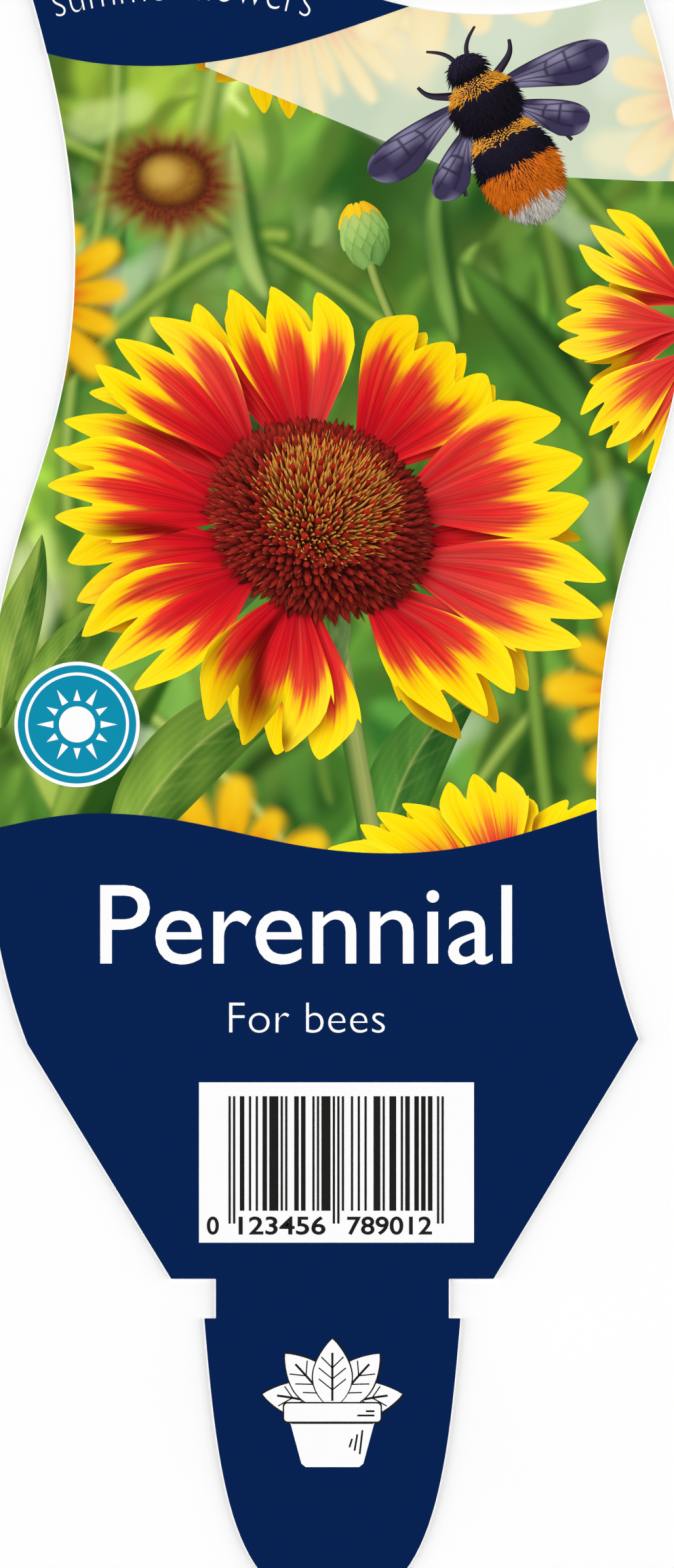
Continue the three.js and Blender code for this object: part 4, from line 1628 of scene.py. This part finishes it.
def pot_emblem():
    """A flowerpot with a young plant in it, in white with fine dark lines."""
    t = np.linspace(0, 1, 21)
    whites, blacks = [], []
    for number, (lean, length, width, bend) in enumerate(EMBLEM_LEAVES):
        level = LETTER_TOP + 3 * EMBLEM_STEP * number

        def at(x, y):
            x = x + bend * (y / length) ** 2
            return np.stack(spun(x, y, -math.radians(lean)), -1) + EMBLEM_ROOT

        half = width / 2 * np.sin(math.pi * t**0.85) ** 0.85
        for grown, shapes, top in ((LEAF_OUTLINE, blacks, level), (0.0, whites, level + EMBLEM_STEP)):
            right = at(half + grown, length * t * (1 + grown / 8))
            shapes.append((np.vstack([right, at(-half - grown, length * t)[::-1]]), top))
        ribs = [stroke(at(0 * t[2:17], length * t[2:17]), RIB_HALF_WIDTHS[0])]
        for start in RIB_STARTS:
            reach = 0.72 * np.interp(start + 0.10, t, half)
            for side in (-1, 1):
                x = np.linspace(0, side * reach, 5)
                y = length * (start + 0.16 * np.abs(x) / reach)
                ribs.append(stroke(at(x, y), RIB_HALF_WIDTHS[1]))
        blacks += [(rib, level + 2 * EMBLEM_STEP) for rib in ribs]
    front = LETTER_TOP + 3 * EMBLEM_STEP * len(EMBLEM_LEAVES)
    blacks.append((rounded(-5.78, 5.12, 5.78, 7.58, 0.5) + EMBLEM_PLACE, front))
    whites.append((POT + EMBLEM_PLACE, front))
    whites.append((rounded(-5.6, 5.3, 5.6, 7.4, 0.4) + EMBLEM_PLACE, front + EMBLEM_STEP))
    blacks += [(stroke(*line) + EMBLEM_PLACE, front + 3 * EMBLEM_STEP) for line in POT_STROKES]
    for name, shapes, ink in (("stake_emblem", whites, WHITE), ("stake_emblem_lines", blacks, BLACK)):
        print_film(name, [[outline] for outline, _ in shapes], [top for _, top in shapes], ink)


# ---------------------------------------------------------------------------------------------------
# Studio

VIEW_HEIGHT = 182.42  # what the camera's frame takes in, along the label
VIEW_CENTRE = (0.14, -1.53)
FLOOR_REACH = 4000.0


def plain_floor():
    """Pale matt board under the label."""
    material, tree = new_material("pale_matt_board")
    place = node(tree, "ShaderNodeTexCoord").outputs["Object"]
    cloud = {"Vector": place, "Scale": 1 / (BOARD_CLOUDS * MM), "Detail": 2.0}
    cloud = node(tree, "ShaderNodeTexNoise", cloud)
    colour = node(tree, "ShaderNodeValToRGB", cloud)
    set_stops(colour, {0.0: "#FCFCFC", 1.0: "#FFFFFF"})
    shader = {"Base Color": colour, "Roughness": 0.9, "Specular IOR Level": 0.1}
    node(tree, "ShaderNodeOutputMaterial", node(tree, "ShaderNodeBsdfPrincipled", shader))
    corners = rectangle(-FLOOR_REACH, -FLOOR_REACH, FLOOR_REACH, FLOOR_REACH)
    floor = mesh_object("floor", np.c_[corners, np.zeros(4)], [(0, 1, 2, 3)])
    floor.data.materials.append(material)


def softbox(name, place):
    """A large area light that faces the label."""
    light = bpy.data.lights.new(name, "AREA")
    light.shape = "RECTANGLE"
    light.size, light.size_y = 1.2, 2.4
    light.energy = 46
    lamp = bpy.data.objects.new(name, light)
    lamp.location = place
    lamp.rotation_mode = "QUATERNION"
    lamp.rotation_quaternion = (-Vector(place)).to_track_quat("-Z", "Y")
    bpy.context.scene.collection.objects.link(lamp)


def studio_light():
    """Two large softboxes to the sides, and a room that is bright at the horizon and dark overhead."""
    softbox("softbox_left", (-1.9, -0.1, 1.1))
    softbox("softbox_right", (1.9, 0.1, 1.1))
    world = bpy.data.worlds.new("studio")
    bpy.context.scene.world = world
    world.use_nodes = True
    tree = world.node_tree
    tree.nodes.clear()
    way = node(tree, "ShaderNodeTexCoord").outputs["Generated"]
    height = node(tree, "ShaderNodeSeparateXYZ", way).outputs["Z"]
    strength = {"Value": height, "From Min": 0.1, "From Max": 0.75, "To Min": 1.0, "To Max": 0.04}
    strength = node(tree, "ShaderNodeMapRange", strength, interpolation_type="SMOOTHSTEP")
    background = node(tree, "ShaderNodeBackground", linear("#FBFBFB"), strength)
    node(tree, "ShaderNodeOutputWorld", background)


def label_camera():
    """Straight above the label, with a long lens."""
    camera = bpy.data.cameras.new("label_camera")
    camera.sensor_width = 36.0
    camera.lens = 200.0
    camera.clip_start = 0.05
    camera.clip_end = 20.0
    made = bpy.data.objects.new("label_camera", camera)
    distance = VIEW_HEIGHT * camera.lens / camera.sensor_width
    made.location = Vector((*VIEW_CENTRE, LABEL_TOP + distance)) * MM
    bpy.context.scene.collection.objects.link(made)
    bpy.context.scene.camera = made


# ---------------------------------------------------------------------------------------------------
# The label

finish_piece(label_sheet(), (white_polypropylene(), "white_plastic"), "label")
print_film("navy_band", [[cut_outline(BAND_EDGE, 1)]], NAVY_TOP, NAVY)
print_film("navy_panel", [[cut_outline(PANEL_EDGE, -1)]], NAVY_TOP, NAVY)
print_line("name_line", "Perennial", -27.4, 20.5, -22.39, 9.07, WHITE, -0.002)
print_line("care_line", "For bees", -12.4, 5.7, -30.5, 3.6, WHITE, 0.014)
print_line("band_line", "summer flowers", -32.6, -3.0, 89.6, 4.3, WHITE, 0.022, radius=54.3)
code_panel()
sun_badge()
pot_emblem()
picture_ground()
foliage()
neighbour_blooms()
open_flower()
pale_wash()
bee()

plain_floor()
studio_light()
label_camera()
bpy.context.scene.view_settings.view_transform = "Standard"
